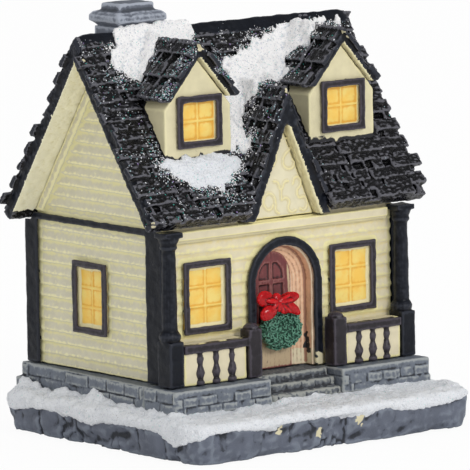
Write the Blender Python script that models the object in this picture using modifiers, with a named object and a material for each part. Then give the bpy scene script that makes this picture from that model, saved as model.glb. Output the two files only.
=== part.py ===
"""A christmas village house: a small lit winter cottage on a snowy rock, with a light unit in its base.

X runs along the front, the front faces -Y, and +Z is up. The origin is the bottom centre of the base.
"""

import math

import bmesh
import bpy
from mathutils import Matrix, Vector, noise

MM = 0.001
GAP = 0.3 * MM  # between pieces that touch

# Rock base and the snow crust on it
ROCK_LENGTH = 77 * MM
ROCK_DEPTH = 72.2 * MM
ROCK_FORWARD = 2.2 * MM  # the rock's middle lies this far in front of the walls' middle
ROCK_HEIGHT = 7.6 * MM
ROCK_CORNERS = (4 * MM, 3 * MM, 6 * MM, 7 * MM)  # front left, front right, back right, back left
ROCK_RIM_COUNT = 88
ROCK_WAVE = 0.8 * MM
CRAG_DEPTH = 2.6 * MM
CRAG_SIZE = 4.5 * MM
SNOW_THICKNESS = 1.2 * MM
DRIP_SHORT = 2.0 * MM
DRIP_LONG = 5.4 * MM
DRIP_SIZE = 11 * MM

# Brick foundation, porch and steps
FLOOR_HEIGHT = 14.9 * MM
FOUNDATION_FRONT_HALF = 36.0 * MM
FOUNDATION_BACK_HALF = 33.8 * MM
FOUNDATION_WALL = 4.0 * MM
PORCH_HALF = 36.2 * MM
PORCH_DEPTH = 8.2 * MM  # in front of the front wall
PORCH_BACK = 3.4 * MM  # under and behind the front wall
BRICK_COURSES = 3
MORTAR = 0.35 * MM
STEP_HALF = 9.9 * MM
STEP_TREAD = 2.4 * MM
STEP_COUNT = 3
LANDING_BACK = 6.8 * MM

# House walls
HOUSE_LENGTH = 64.8 * MM
HOUSE_DEPTH = 50.0 * MM
HOUSE_CENTRE_Y = 5.6 * MM
WALL = 2.0 * MM
SIDING_COURSE = 2.55 * MM
SIDING_LAP = 0.45 * MM
TRIM = 0.7 * MM
CORNER_BOARD_BACK = 4.4 * MM
CORNER_BOARD_FRONT = 5.8 * MM
EAVE_BAND = 1.5 * MM
EAVE_BAND_TOP = 49.4 * MM
FRIEZE_HEIGHT = 2.6 * MM
FRIEZE_DEPTH = 1.2 * MM
FRIEZE_DROP = 2.5 * MM  # below the front eave

# Main roof
RIDGE_Y = 3.5 * MM
RIDGE_HEIGHT = 90.1 * MM
FRONT_OVERHANG = 4.6 * MM
FRONT_EAVE_HEIGHT = 51.5 * MM
BACK_OVERHANG = 0.4 * MM
BACK_EAVE_HEIGHT = 49.4 * MM
VERGE_OVERHANG = 6.6 * MM
ROOF_THICKNESS = 2.8 * MM
ROOF_COURSES = 15
SHINGLE_BUTT = 0.5 * MM
RIDGE_CAP_WIDTH = 2.4 * MM
RIDGE_CAP_THICKNESS = 0.8 * MM
RAKE_WIDTH = 2.2 * MM  # the moulding up each gable wall, under the roof
RAKE_THICKNESS = 0.7 * MM

# Cross gable over the door
DOOR_X = 0.8 * MM
GABLE_HEIGHT = 77.8 * MM
GABLE_HALF = 12.15 * MM
GABLE_EAVE_DROP = 2.0 * MM  # below the front eave
GABLE_ROOF_THICKNESS = 2.7 * MM
GABLE_OVERHANG = 2.6 * MM
GABLE_REACH = 20 * MM
GABLE_COURSES = 9

# Dormers
DORMER_CENTRES = {"left": -19.6 * MM, "right": 21.3 * MM}
DORMER_SET_BACK = 3.6 * MM  # behind the front wall
DORMER_HALF = 9.3 * MM
DORMER_HEIGHT = 89.0 * MM
DORMER_EAVE_HALF = 10.2 * MM
DORMER_EAVE_HEIGHT = 77.3 * MM
DORMER_OVERHANG = 1.1 * MM
DORMER_ROOF_THICKNESS = 1.6 * MM
DORMER_COURSES = 5
DORMER_SHELL = 1.5 * MM
DORMER_REACH = 8 * MM  # past the ridge, before the roof cuts it
DORMER_APRON = 8 * MM  # under its window, before the roof cuts it
LIGHT_PORT = 8.0 * MM

# Snow on the roof
ROOF_SNOW_THICKNESS = 1.1 * MM
SNOW_OUTLINE_COUNT = 28

# Chimney
CHIMNEY_X = -20.5 * MM
CHIMNEY_LENGTH = 10.8 * MM
CHIMNEY_FRONT = 0.3 * MM  # behind the ridge
CHIMNEY_DEPTH = 8.0 * MM
CHIMNEY_TOP = 91.6 * MM
CHIMNEY_FOOT = 72.0 * MM
CHIMNEY_CAP_SPREAD = 1.5 * MM
CHIMNEY_CAP_HEIGHT = 5.3 * MM

# Porch columns and railings
COLUMN_X = 33.1 * MM
COLUMN_STAND_OFF = 2.4 * MM  # axis in front of the wall
COLUMN_RADIUS = 1.75 * MM
CAPITAL_HALF = 2.5 * MM
COLUMN_RISE = 0.5 * MM  # above the frieze
PEDESTAL_WIDTH = 3.8 * MM
PEDESTAL_FRONT = 5.0 * MM  # face in front of the wall
PEDESTAL_TOP = 25.3 * MM
NEWEL_OFFSET = 12.1 * MM  # from the door's centre
NEWEL_WIDTH = 3.6 * MM
NEWEL_TOP = 27.4 * MM
RAIL_TOP = 24.3 * MM
RAIL_HEIGHT = 1.9 * MM
RAIL_WIDTH = 2.0 * MM
RAIL_FRONT = 5.2 * MM  # face in front of the wall
BALUSTER_COUNT = 3
BALUSTER_RADIUS = 1.3 * MM

# Door, arch and wreath
ARCH_RADIUS = 10.45 * MM
ARCH_HEADROOM = 1.2 * MM  # under the frieze
ARCH_BAR = 2.0 * MM
ARCH_LAP = 0.85 * MM
ARCH_THICKNESS = 0.9 * MM
JAMB_THICKNESS = 1.1 * MM
JAMB_REVEAL = 2.4 * MM  # depth before the mouldings step in
JAMB_STEP = 0.95 * MM
JAMB_STEP_DEPTH = 0.2 * MM
JAMB_STEP_COUNT = 4
DOOR_SET_BACK = 3.6 * MM
DOOR_THICKNESS = 1.6 * MM
DOOR_LAP = 1.2 * MM
DOOR_STILE = 0.9 * MM
DOOR_PANEL_SINK = 0.4 * MM
DOOR_PANEL_HEIGHT = 3.6 * MM
DOOR_PANEL_ROW_COUNT = 3
DOOR_PLANK_COUNT = 5
DOOR_GROOVE = 0.3 * MM
WREATH_HEIGHT = 24.1 * MM
WREATH_RADIUS = 3.3 * MM
WREATH_TUBE = 1.9 * MM
NEEDLE_TUFT = 0.45 * MM
NEEDLE_SIZE = 1.3 * MM
BOW_THICKNESS = 1.7 * MM

# Windows
FRAME_BAR = 1.5 * MM
FRAME_THICKNESS = 0.7 * MM
FRAME_LAP = 0.7 * MM
PANE_THICKNESS = 1.2 * MM
MUNTIN = 0.7 * MM
PANE_RELIEF = 0.3 * MM
FRONT_WINDOWS = {"left": (-21.0 * MM, 25.8 * MM), "right": (20.5 * MM, 26.2 * MM)}
FRONT_WINDOW_WIDTH = 13.3 * MM
FRONT_WINDOW_HEADROOM = 4.4 * MM  # under the frieze
SIDE_WINDOW_Y = 7.3 * MM
SIDE_WINDOW_BOTTOM = 23.6 * MM
SIDE_WINDOW = (12.3 * MM, 16.4 * MM)
BACK_WINDOW_BOTTOM = 25.8 * MM
BACK_WINDOW = (13.3 * MM, 16.0 * MM)
DORMER_WINDOW = (12.4 * MM, 11.6 * MM)
DORMER_WINDOW_BOTTOM = 66.6 * MM

# Light unit pressed into the base
UNIT_RADIUS = 17.0 * MM
UNIT_TOP = 8.9 * MM
TURRET_RADIUS = 5.0 * MM  # round the lamp
TURRET_TOP = 11.0 * MM
UNIT_RECESS = 0.8 * MM  # its underside above the ground
FLANGE_RADIUS = 20.0 * MM
FLANGE_THICKNESS = 1.4 * MM
CELL_RADIUS = 10.0 * MM
CELL_THICKNESS = 3.2 * MM
CELL_X = -4.5 * MM
BAY_TOP = 7.6 * MM
COVER_THICKNESS = 1.2 * MM
COVER_MARGIN = 1.3 * MM
HINGE_WIDTH = 8.0 * MM
HINGE_ARM = 1.2 * MM
GRIP_WIDTH = 0.7 * MM
GRIP_PITCH = 1.6 * MM
GRIP_COUNT = 3
SCREW_TAB_WIDTH = 5.6 * MM
SCREW_TAB_LENGTH = 3.6 * MM
SCREW_RADIUS = 0.7 * MM
SCREW_HEAD_RADIUS = 1.4 * MM
SCREW_HEAD_HEIGHT = 0.6 * MM
SCREW_LENGTH = 3.2 * MM
SCREW_SWING = 0.6 * MM  # room for the screw's tip as the cover swings
SWITCH_X = 12.3 * MM
SWITCH_TRAVEL = 2.0 * MM
KNOB_LENGTH = 2.0 * MM
KNOB_WIDTH = 2.2 * MM
KNOB_GROOVE = 0.24 * MM
SLIDER_LENGTH = 4.2 * MM
SLIDER_WIDTH = 4.0 * MM
SLIDER_THICKNESS = 1.4 * MM
LAMP_RADIUS = 2.5 * MM
LAMP_RIM = 0.4 * MM
LAMP_HEIGHT = 8.0 * MM
LAMP_SEAT = 8.6 * MM
LEAF_WIDTH = 3.0 * MM
LEAF_THICKNESS = 0.4 * MM

SHARP_ANGLE = math.radians(40)
FLAT_ANGLE = math.radians(2)

# Where the driving dimensions put things
SNOW_TOP = ROCK_HEIGHT + GAP + SNOW_THICKNESS
FOUNDATION_BOTTOM = SNOW_TOP + GAP
WALL_BOTTOM = FLOOR_HEIGHT + GAP
HALF = HOUSE_LENGTH / 2
FRONT_Y = HOUSE_CENTRE_Y - HOUSE_DEPTH / 2
BACK_Y = HOUSE_CENTRE_Y + HOUSE_DEPTH / 2
FRONT_INSIDE = FRONT_Y + WALL
BACK_INSIDE = BACK_Y - WALL
VERGE_X = HALF + VERGE_OVERHANG
PORCH_FRONT = FRONT_Y - PORCH_DEPTH
GABLE_EAVE_HEIGHT = FRONT_EAVE_HEIGHT - GABLE_EAVE_DROP
FRIEZE_TOP = FRONT_EAVE_HEIGHT - FRIEZE_DROP
FRIEZE_BOTTOM = FRIEZE_TOP - FRIEZE_HEIGHT
COLUMN_TOP = FRIEZE_TOP + COLUMN_RISE
ARCH_TOP = FRIEZE_BOTTOM - ARCH_HEADROOM
ARCH_SPRING = ARCH_TOP - ARCH_RADIUS
LINING_RADIUS = ARCH_RADIUS - ARCH_LAP - GAP
DOORWAY_RADIUS = LINING_RADIUS - JAMB_THICKNESS - JAMB_STEP_COUNT * JAMB_STEP
JAMB_END = DOOR_SET_BACK - GAP
WREATH_Y = FRONT_Y + JAMB_REVEAL + (JAMB_STEP_COUNT - 1) * JAMB_STEP_DEPTH - GAP - WREATH_TUBE
DORMER_WALL_Y = FRONT_Y + DORMER_SET_BACK
COVER_RADIUS = CELL_RADIUS + COVER_MARGIN
HINGE_Y = -(COVER_RADIUS + HINGE_ARM)
HINGE_Z = UNIT_RECESS + COVER_THICKNESS / 2
SCREW_Y = COVER_RADIUS + SCREW_TAB_LENGTH / 2

FINISHES = {
    "cream_paint": ((0.81, 0.74, 0.47), 0.55, 0.0),
    "black_paint": ((0.016, 0.015, 0.022), 0.4, 0.0),
    "black_shingle": ((0.02, 0.019, 0.022), 0.35, 0.0),
    "grey_brick": ((0.16, 0.18, 0.21), 0.6, 0.0),
    "slate_paint": ((0.13, 0.145, 0.175), 0.6, 0.0),
    "rock_paint": ((0.12, 0.13, 0.15), 0.7, 0.0),
    "snow": ((0.86, 0.86, 0.88), 0.8, 0.0),
    "lit_pane": ((0.95, 0.62, 0.14), 0.35, 0.0),
    "door_wood": ((0.52, 0.33, 0.18), 0.55, 0.0),
    "wreath_green": ((0.03, 0.17, 0.1), 0.6, 0.0),
    "ribbon_red": ((0.62, 0.01, 0.015), 0.3, 0.0),
    "white_plastic": ((0.82, 0.82, 0.8), 0.4, 0.0),
    "black_plastic": ((0.03, 0.03, 0.03), 0.4, 0.0),
    "steel": ((0.6, 0.6, 0.58), 0.3, 1.0),
    "lamp_plastic": ((0.95, 0.85, 0.55), 0.15, 0.0),
}


def clear_scene():
    for leftover in list(bpy.data.objects):
        bpy.data.objects.remove(leftover)


def collection(name):
    made = bpy.data.collections.new(name)
    bpy.context.scene.collection.children.link(made)
    return made


clear_scene()
HOUSE = collection("christmas_village_house")
CUTTERS = collection("cutters")


def finish(name):
    """The named finish as a material, made once."""
    if name in bpy.data.materials:
        return bpy.data.materials[name]
    colour, roughness, metallic = FINISHES[name]
    made = bpy.data.materials.new(name)
    made.use_nodes = True
    shader = made.node_tree.nodes["Principled BSDF"]
    shader.inputs["Base Color"].default_value = (*colour, 1)
    shader.inputs["Roughness"].default_value = roughness
    shader.inputs["Metallic"].default_value = metallic
    return made


def add_object(name, mesh, look, place=Matrix()):
    """A piece of the house, or a cutter where it has no finish."""
    made = bpy.data.objects.new(name, mesh)
    (HOUSE if look else CUTTERS).objects.link(made)
    made.matrix_world = place
    if look:
        mesh.materials.append(finish(look))
    else:
        made.hide_render = True
        made.display_type = "WIRE"
    return made


def shade(bm):
    """Smooth where faces meet at a slight angle, as round a cylinder, and flat elsewhere."""
    for edge in bm.edges:
        angle = edge.calc_face_angle(0)
        if angle > SHARP_ANGLE:
            edge.smooth = False
        elif angle > FLAT_ANGLE:
            for face in edge.link_faces:
                face.smooth = True


def add_mesh(name, bm, look, place=Matrix()):
    bmesh.ops.recalc_face_normals(bm, faces=bm.faces)
    shade(bm)
    mesh = bpy.data.meshes.new(name)
    bm.to_mesh(mesh)
    bm.free()
    return add_object(name, mesh, look, place)


def box(name, low, high, look=None):
    """A rectangular block between two corners."""
    bm = bmesh.new()
    bmesh.ops.create_cube(bm, size=1)
    size = [top - bottom for bottom, top in zip(low, high)]
    bmesh.ops.scale(bm, vec=size, verts=bm.verts)
    middle = [(bottom + top) / 2 for bottom, top in zip(low, high)]
    return add_mesh(name, bm, look, Matrix.Translation(middle))


def cylinder(name, radius, low, high, look=None, centre=(0, 0), sides=48):
    """An upright cylinder between two heights."""
    bm = bmesh.new()
    bmesh.ops.create_cone(
        bm, cap_ends=True, segments=sides, radius1=radius, radius2=radius, depth=high - low
    )
    return add_mesh(name, bm, look, Matrix.Translation((*centre, (low + high) / 2)))


def plate(name, loops, thickness, place, look=None):
    """A flat outline, its further loops being holes, with a thickness; place sets its middle plane."""
    curve = bpy.data.curves.new(name, "CURVE")
    curve.dimensions = "2D"
    curve.fill_mode = "BOTH"
    curve.extrude = thickness / 2
    for loop in loops:
        spline = curve.splines.new("POLY")
        spline.points.add(len(loop) - 1)
        for point, (across, up) in zip(spline.points, loop):
            point.co = (across, up, 0, 1)
        spline.use_cyclic_u = True
    outline = bpy.data.objects.new(name, curve)
    CUTTERS.objects.link(outline)
    bpy.context.view_layer.update()
    graph = bpy.context.evaluated_depsgraph_get()
    solid = bpy.data.meshes.new_from_object(outline.evaluated_get(graph))
    bm = bmesh.new()
    bm.from_mesh(solid)
    bmesh.ops.remove_doubles(bm, verts=bm.verts, dist=0.001 * MM)
    bpy.data.objects.remove(outline)
    bpy.data.meshes.remove(solid)
    return add_mesh(name, bm, look, place)


def loft(name, rings, look, place=Matrix()):
    """A closed body through rings of as many points each, capped at both ends."""
    bm = bmesh.new()
    made = [[bm.verts.new(point) for point in ring] for ring in rings]
    for lower, upper in zip(made, made[1:]):
        for i in range(len(lower)):
            j = (i + 1) % len(lower)
            bm.faces.new((lower[i], lower[j], upper[j], upper[i]))
    bm.faces.new(reversed(made[0]))
    bm.faces.new(made[-1])
    return add_mesh(name, bm, look, place)


def turned(name, profile, look, place, steps=16):
    """A profile of (radius, height) points, top to bottom, turned about the upright axis."""
    mesh = bpy.data.meshes.new(name)
    points = [(radius, 0, height) for radius, height in profile]
    edges = [(i, i + 1) for i in range(len(points) - 1)]
    mesh.from_pydata(points, edges, [])
    made = add_object(name, mesh, look, place)
    screw = made.modifiers.new("turn", "SCREW")
    screw.steps = steps
    screw.render_steps = steps
    screw.use_merge_vertices = True
    screw.merge_threshold = 0.01 * MM
    screw.use_smooth_shade = True
    return made


def combine(target, other, operation):
    boolean = target.modifiers.new(other.name, "BOOLEAN")
    boolean.operation = operation
    boolean.object = other


def cut(target, *cutters):
    for cutter in cutters:
        combine(target, cutter, "DIFFERENCE")


def fuse(target, *others):
    for other in others:
        combine(target, other, "UNION")


def trim_to(target, keep):
    combine(target, keep, "INTERSECT")


def facing(across, outward, origin):
    """The frame of an upright plane: x across it, y up, z out of it."""
    across, outward = Vector(across), Vector(outward)
    turn = Matrix((across, Vector((0, 0, 1)), outward)).transposed().to_4x4()
    return Matrix.Translation(origin) @ turn


def stand_off(frame, distance, across=0):
    """The same frame, moved out of its plane and along it."""
    return frame @ Matrix.Translation((across, 0, distance))


FRONT = facing((1, 0, 0), (0, -1, 0), (0, FRONT_Y, 0))
BACK = facing((-1, 0, 0), (0, 1, 0), (0, BACK_Y, 0))
LEFT = facing((0, -1, 0), (-1, 0, 0), (-HALF, 0, 0))
RIGHT = facing((0, 1, 0), (1, 0, 0), (HALF, 0, 0))
ALONG = facing((0, 1, 0), (1, 0, 0), (0, 0, 0))  # sections in (y, z), drawn along X
ACROSS = facing((1, 0, 0), (0, -1, 0), (0, 0, 0))  # sections in (x, z), drawn along Y


def rectangle(left, right, bottom, top):
    return [(left, bottom), (right, bottom), (right, top), (left, top)]


def arc(centre, radius, start, end, count):
    """Points on an arc, from one angle in degrees to another."""
    angles = [math.radians(start + (end - start) * i / count) for i in range(count + 1)]
    return [
        (centre[0] + radius * math.cos(a), centre[1] + radius * math.sin(a)) for a in angles
    ]


def arch(centre, radius, bottom, spring, count=16):
    """A round-headed opening: two legs and a half circle."""
    head = arc((centre, spring), radius, 0, 180, count)
    return [(centre + radius, bottom), *head, (centre - radius, bottom)]


def meet(point, along, other, direction):
    """Where two lines of a plane cross."""
    span = other - point
    t = span.cross(direction) / along.cross(direction)
    return point + along * t


def inset(plan, depth):
    """A plan, drawn anticlockwise, with every side moved in by depth."""
    corners = [Vector(corner) for corner in plan]
    made = []
    for i, corner in enumerate(corners):
        before = (corner - corners[i - 1]).normalized()
        after = (corners[(i + 1) % len(corners)] - corner).normalized()
        shift_before = Vector((-before.y, before.x)) * depth
        shift_after = Vector((-after.y, after.x)) * depth
        made.append(meet(corner + shift_before, before, corner + shift_after, after))
    return made


class Slope:
    """One side of a roof in section: s runs down it from the ridge, h stands out of it."""

    def __init__(self, ridge, eave):
        self.ridge = Vector(ridge)
        run = Vector(eave) - self.ridge
        self.length = run.length
        self.down = run.normalized()
        side = 1 if run.x > 0 else -1
        self.out = Vector((-self.down.y, self.down.x)) * side

    def at(self, s, h):
        return self.ridge + self.down * s + self.out * h

    def at_across(self, across, h):
        start = self.at(0, h)
        return meet(start, self.down, Vector((across, 0)), Vector((0, 1)))

    def at_height(self, height, h):
        start = self.at(0, h)
        return meet(start, self.down, Vector((0, height)), Vector((1, 0)))

    def down_to(self, height):
        """The distance down the surface from the ridge to a height."""
        return (height - self.ridge.y) / self.down.y

    def courses(self, count, butt):
        """The stepped line of the shingles, from the ridge to the eave."""
        step = self.length / count
        points = []
        for i in range(count):
            points.append(self.at(i * step, -butt if i else 0))
            points.append(self.at((i + 1) * step, 0))
        return points


FRONT_SLOPE = Slope((RIDGE_Y, RIDGE_HEIGHT), (FRONT_Y - FRONT_OVERHANG, FRONT_EAVE_HEIGHT))
BACK_SLOPE = Slope((RIDGE_Y, RIDGE_HEIGHT), (BACK_Y + BACK_OVERHANG, BACK_EAVE_HEIGHT))


def gable_pair(centre, height, half, eave_height):
    """The two slopes of a roof whose ridge runs front to back."""
    ridge = (centre, height)
    return Slope(ridge, (centre - half, eave_height)), Slope(ridge, (centre + half, eave_height))


def apex(pair, h):
    """Where the two sides of a roof meet at height h out of their surfaces."""
    first, second = pair
    return meet(first.at(0, h), first.down, second.at(0, h), second.down)


GABLE = gable_pair(DOOR_X, GABLE_HEIGHT, GABLE_HALF, GABLE_EAVE_HEIGHT)
MAIN = (FRONT_SLOPE, BACK_SLOPE)
# Distances down the front slope from its ridge
GABLE_MEETS = FRONT_SLOPE.down_to(GABLE_HEIGHT)
DORMER_FOOT = FRONT_SLOPE.down_to(FRONT_SLOPE.at_across(DORMER_WALL_Y, 0).y)


def under(pair, h, bottom):
    """The space under a roof's two slopes, at height h out of their surfaces, down to a level."""
    first, second = pair
    ends = first.at(first.length, h), second.at(second.length, h)
    return [(ends[0].x, bottom), ends[0], apex(pair, h), ends[1], (ends[1].x, bottom)]


# Base


def even_points(loop, count):
    """A closed loop, walked round in equal paces."""
    closed = [*loop, loop[0]]
    lengths = [(b - a).length for a, b in zip(closed, closed[1:])]
    pace = sum(lengths) / count
    points = []
    walked = 0
    for a, b, length in zip(closed, closed[1:], lengths):
        while len(points) < count and len(points) * pace < walked + length:
            points.append(a.lerp(b, (len(points) * pace - walked) / length))
        walked += length
    return points


def rock_rim():
    """The rock's plan: a rectangle with its own radius at each corner, slightly wavy, and its normals."""
    half = Vector((ROCK_LENGTH / 2, ROCK_DEPTH / 2))
    sides = ((-1, -1, 180), (1, -1, 270), (1, 1, 0), (-1, 1, 90))
    corners = []
    for (x, y, start), radius in zip(sides, ROCK_CORNERS):
        centre = ((half.x - radius) * x, (half.y - radius) * y - ROCK_FORWARD)
        corners += [Vector(p) for p in arc(centre, radius, start, start + 90, 8)]
    rim = even_points(corners, ROCK_RIM_COUNT)
    normals = []
    for i, point in enumerate(rim):
        along = rim[(i + 1) % ROCK_RIM_COUNT] - rim[i - 1]
        normals.append(Vector((along.y, -along.x)).normalized())
    waves = [abs(noise.noise(Vector((*p, 0)) / (14 * MM))) * ROCK_WAVE for p in rim]
    return [p - n * wave for p, n, wave in zip(rim, normals, waves)], normals


RIM, RIM_NORMALS = rock_rim()


def rim_ring(height, out):
    """A ring round the base; height and out are values, or functions of the point on the rim."""
    ring = []
    for point, normal in zip(RIM, RIM_NORMALS):
        z = height(point) if callable(height) else height
        reach = out(point, z) if callable(out) else out
        ring.append((*(point + normal * reach), z))
    return ring


def crag(lean):
    """How far the rock's face lies inside its rim: its lean, and chips of stone."""

    def reach(point, z):
        chips = noise.noise(Vector((*point, z * 1.7)) / CRAG_SIZE)
        return -lean - CRAG_DEPTH * max(0, chips)

    return reach


def rock_base():
    levels = ((0, 1.3), (0.22, 0.8), (0.5, 0.4), (0.76, 0.2), (0.93, 0.1))
    rings = [rim_ring(ROCK_HEIGHT * level, crag(lean * MM)) for level, lean in levels]
    rings.append(rim_ring(ROCK_HEIGHT, -0.5 * MM))
    rock = loft("rock_base", rings, "rock_paint")
    cut(
        rock,
        cylinder("unit_bore", UNIT_RADIUS + GAP, -1 * MM, ROCK_HEIGHT + 1 * MM),
        cylinder(
            "flange_seat",
            FLANGE_RADIUS + GAP,
            -1 * MM,
            UNIT_RECESS + FLANGE_THICKNESS + GAP,
        ),
    )


def base_snow():
    """A crust over the rock's top that drips over its edge."""

    def drip(point):
        run = noise.noise(Vector((*point, 5 * MM)) / DRIP_SIZE)
        return ROCK_HEIGHT - DRIP_SHORT - DRIP_LONG * max(0, run)

    inner, outer = GAP, GAP + SNOW_THICKNESS
    rings = [
        rim_ring(ROCK_HEIGHT + GAP, inner),
        rim_ring(drip, inner),
        rim_ring(drip, outer),
        rim_ring(ROCK_HEIGHT + GAP, outer),
        rim_ring(SNOW_TOP - 0.15 * MM, outer - 0.9 * MM),
        rim_ring(SNOW_TOP, outer - 2.4 * MM),
    ]
    snow = loft("base_snow", rings, "snow")
    cut(snow, cylinder("snow_bore", UNIT_RADIUS + GAP, ROCK_HEIGHT - 1 * MM, SNOW_TOP + 1 * MM))


def coursed(name, plan):
    """Brickwork from the snow to the floor: courses with raked mortar joints between them."""
    course = (FLOOR_HEIGHT - FOUNDATION_BOTTOM) / BRICK_COURSES
    rings = []
    for i in range(BRICK_COURSES):
        bottom = FOUNDATION_BOTTOM + i * course
        top = bottom + course
        if i:
            rings.append((MORTAR, bottom))
            bottom += MORTAR
            rings.append((MORTAR, bottom))
        rings += [(0, bottom), (0, top)]
    loft(name, [[(*corner, z) for corner in inset(plan, depth)] for depth, z in rings], "grey_brick")


def foundation():
    front = FRONT_Y + PORCH_BACK + GAP
    back = BACK_Y + 1.4 * MM
    outer_front, outer_back = FOUNDATION_FRONT_HALF, FOUNDATION_BACK_HALF
    inner = outer_back - FOUNDATION_WALL
    inner_back = back - FOUNDATION_WALL
    coursed(
        "foundation",
        [
            (-outer_front, front),
            (-inner, front),
            (-inner, inner_back),
            (inner, inner_back),
            (inner, front),
            (outer_front, front),
            (outer_back, back),
            (-outer_back, back),
        ],
    )


def porch_blocks():
    back = FRONT_Y + PORCH_BACK
    left_end = DOOR_X - STEP_HALF - GAP
    right_end = DOOR_X + STEP_HALF + GAP
    for side, low, high in (("left", -PORCH_HALF, left_end), ("right", right_end, PORCH_HALF)):
        coursed(f"porch_block_{side}", rectangle(low, high, PORCH_FRONT, back))


def door_steps():
    riser = (FLOOR_HEIGHT - FOUNDATION_BOTTOM) / STEP_COUNT
    back = FRONT_Y + LANDING_BACK
    front = PORCH_FRONT + 0.3 * MM
    section = [(back, FLOOR_HEIGHT), (back, FOUNDATION_BOTTOM)]
    for i in range(STEP_COUNT):
        nose = front + i * STEP_TREAD
        section += [(nose, FOUNDATION_BOTTOM + i * riser), (nose, FOUNDATION_BOTTOM + (i + 1) * riser)]
    plate("door_steps", [section], 2 * STEP_HALF, stand_off(ALONG, DOOR_X), "grey_brick")


# Walls


def siding(name, frame, bottom, top, length):
    """A wall slab whose face is lapped boards, drawn along the wall."""
    count = max(1, round((top - bottom) / SIDING_COURSE))
    course = (top - bottom) / count
    section = [(-WALL, top), (-WALL, bottom)]
    for i in range(count):
        section += [(0, bottom + i * course), (-SIDING_LAP, bottom + (i + 1) * course)]
    outward = frame.to_3x3() @ Vector((0, 0, 1))
    section_frame = facing(outward, outward.cross(Vector((0, 0, 1))), frame.translation)
    return plate(name, [section], length, section_frame, "cream_paint")


def through(name, frame, loop):
    """A cutter that goes right through a wall."""
    return plate(name, [loop], 4 * WALL, stand_off(frame, -WALL / 2))


def front_window(bottom):
    """The width and height of a front window whose sill is at a height."""
    return FRONT_WINDOW_WIDTH, FRIEZE_BOTTOM - FRONT_WINDOW_HEADROOM - bottom


def window_opening(name, frame, centre, bottom, size):
    width, height = size
    lap = FRAME_LAP
    left, right = centre - width / 2 + lap, centre + width / 2 - lap
    return through(name, frame, rectangle(left, right, bottom + lap, bottom + height - lap))


def gable_band(outer, inner, bottom):
    """The band between two gable outlines, open at its foot."""
    across = [
        Slope(outer[2], outer[1]).at_height(bottom, 0),
        outer[2],
        Slope(outer[2], outer[3]).at_height(bottom, 0),
        Slope(inner[2], inner[3]).at_height(bottom, 0),
        inner[2],
        Slope(inner[2], inner[1]).at_height(bottom, 0),
    ]
    return across


def side_walls():
    """The two gable walls, their tops under the main roof."""
    length = BACK_INSIDE - FRONT_INSIDE - 2 * GAP
    middle = (BACK_INSIDE + FRONT_INSIDE) / 2
    gable = under(MAIN, -ROOF_THICKNESS - GAP, WALL_BOTTOM)
    gable_top = apex(MAIN, -ROOF_THICKNESS - GAP).y
    for side, frame, sign in (("left", LEFT, -1), ("right", RIGHT, 1)):
        name = f"{side}_wall"
        place = Matrix.Translation((0, middle, 0)) @ frame
        wall = siding(name, place, WALL_BOTTOM, gable_top, length)
        shape = plate(f"{name}_shape", [gable], 4 * WALL, stand_off(ALONG, sign * HALF))
        trim_to(wall, shape)
        outer = under(MAIN, -ROOF_THICKNESS - GAP, EAVE_BAND_TOP + GAP)
        inner = under(MAIN, -ROOF_THICKNESS - GAP - RAKE_WIDTH, EAVE_BAND_TOP + GAP)
        rake = plate(
            f"{name}_rake",
            [gable_band(outer, inner, EAVE_BAND_TOP + GAP)],
            2 * RAKE_THICKNESS,
            stand_off(ALONG, sign * HALF),
        )
        low, high = sorted((sign * (HALF - WALL), sign * (HALF + 2 * WALL)))
        near, far = (low, FRONT_INSIDE + GAP, 0), (high, BACK_INSIDE - GAP, RIDGE_HEIGHT)
        trim_to(rake, box(f"{name}_rake_room", near, far))
        fuse(wall, rake)
        at = -SIDE_WINDOW_Y if side == "left" else SIDE_WINDOW_Y
        cut(wall, window_opening(f"{name}_window", frame, at, SIDE_WINDOW_BOTTOM, SIDE_WINDOW))


def front_wall():
    """The door wall: its top rises to the main roof beside the cross gable's foot."""
    top = FRONT_SLOPE.at_across(FRONT_Y, -ROOF_THICKNESS - GAP).y
    wall = siding("front_wall", FRONT, WALL_BOTTOM, FRIEZE_BOTTOM, HOUSE_LENGTH)
    upper = box(
        "front_wall_upper",
        (-HALF, FRONT_Y, FRIEZE_BOTTOM - 0.1 * MM),
        (HALF, FRONT_INSIDE, top),
    )
    fuse(wall, upper)
    foot = apex(GABLE, GAP).y
    left, right = GABLE
    level = GABLE_EAVE_HEIGHT - GAP
    gable_seat = [
        left.at_height(level, GAP),
        right.at_height(level, GAP),
        (DOOR_X, foot),
    ]
    door_radius = ARCH_RADIUS - ARCH_LAP
    cut(
        wall,
        through("gable_seat", FRONT, gable_seat),
        through("doorway", FRONT, arch(DOOR_X, door_radius, FLOOR_HEIGHT - 1 * MM, ARCH_SPRING)),
    )
    for side, (centre, bottom) in FRONT_WINDOWS.items():
        size = front_window(bottom)
        cut(wall, window_opening(f"front_{side}_opening", FRONT, centre, bottom, size))


def back_wall():
    eave = BACK_SLOPE.at(BACK_SLOPE.length, -ROOF_THICKNESS).y - GAP
    wall = siding("back_wall", BACK, WALL_BOTTOM, eave, HOUSE_LENGTH)
    cut(wall, window_opening("back_opening", BACK, 0, BACK_WINDOW_BOTTOM, BACK_WINDOW))


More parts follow.
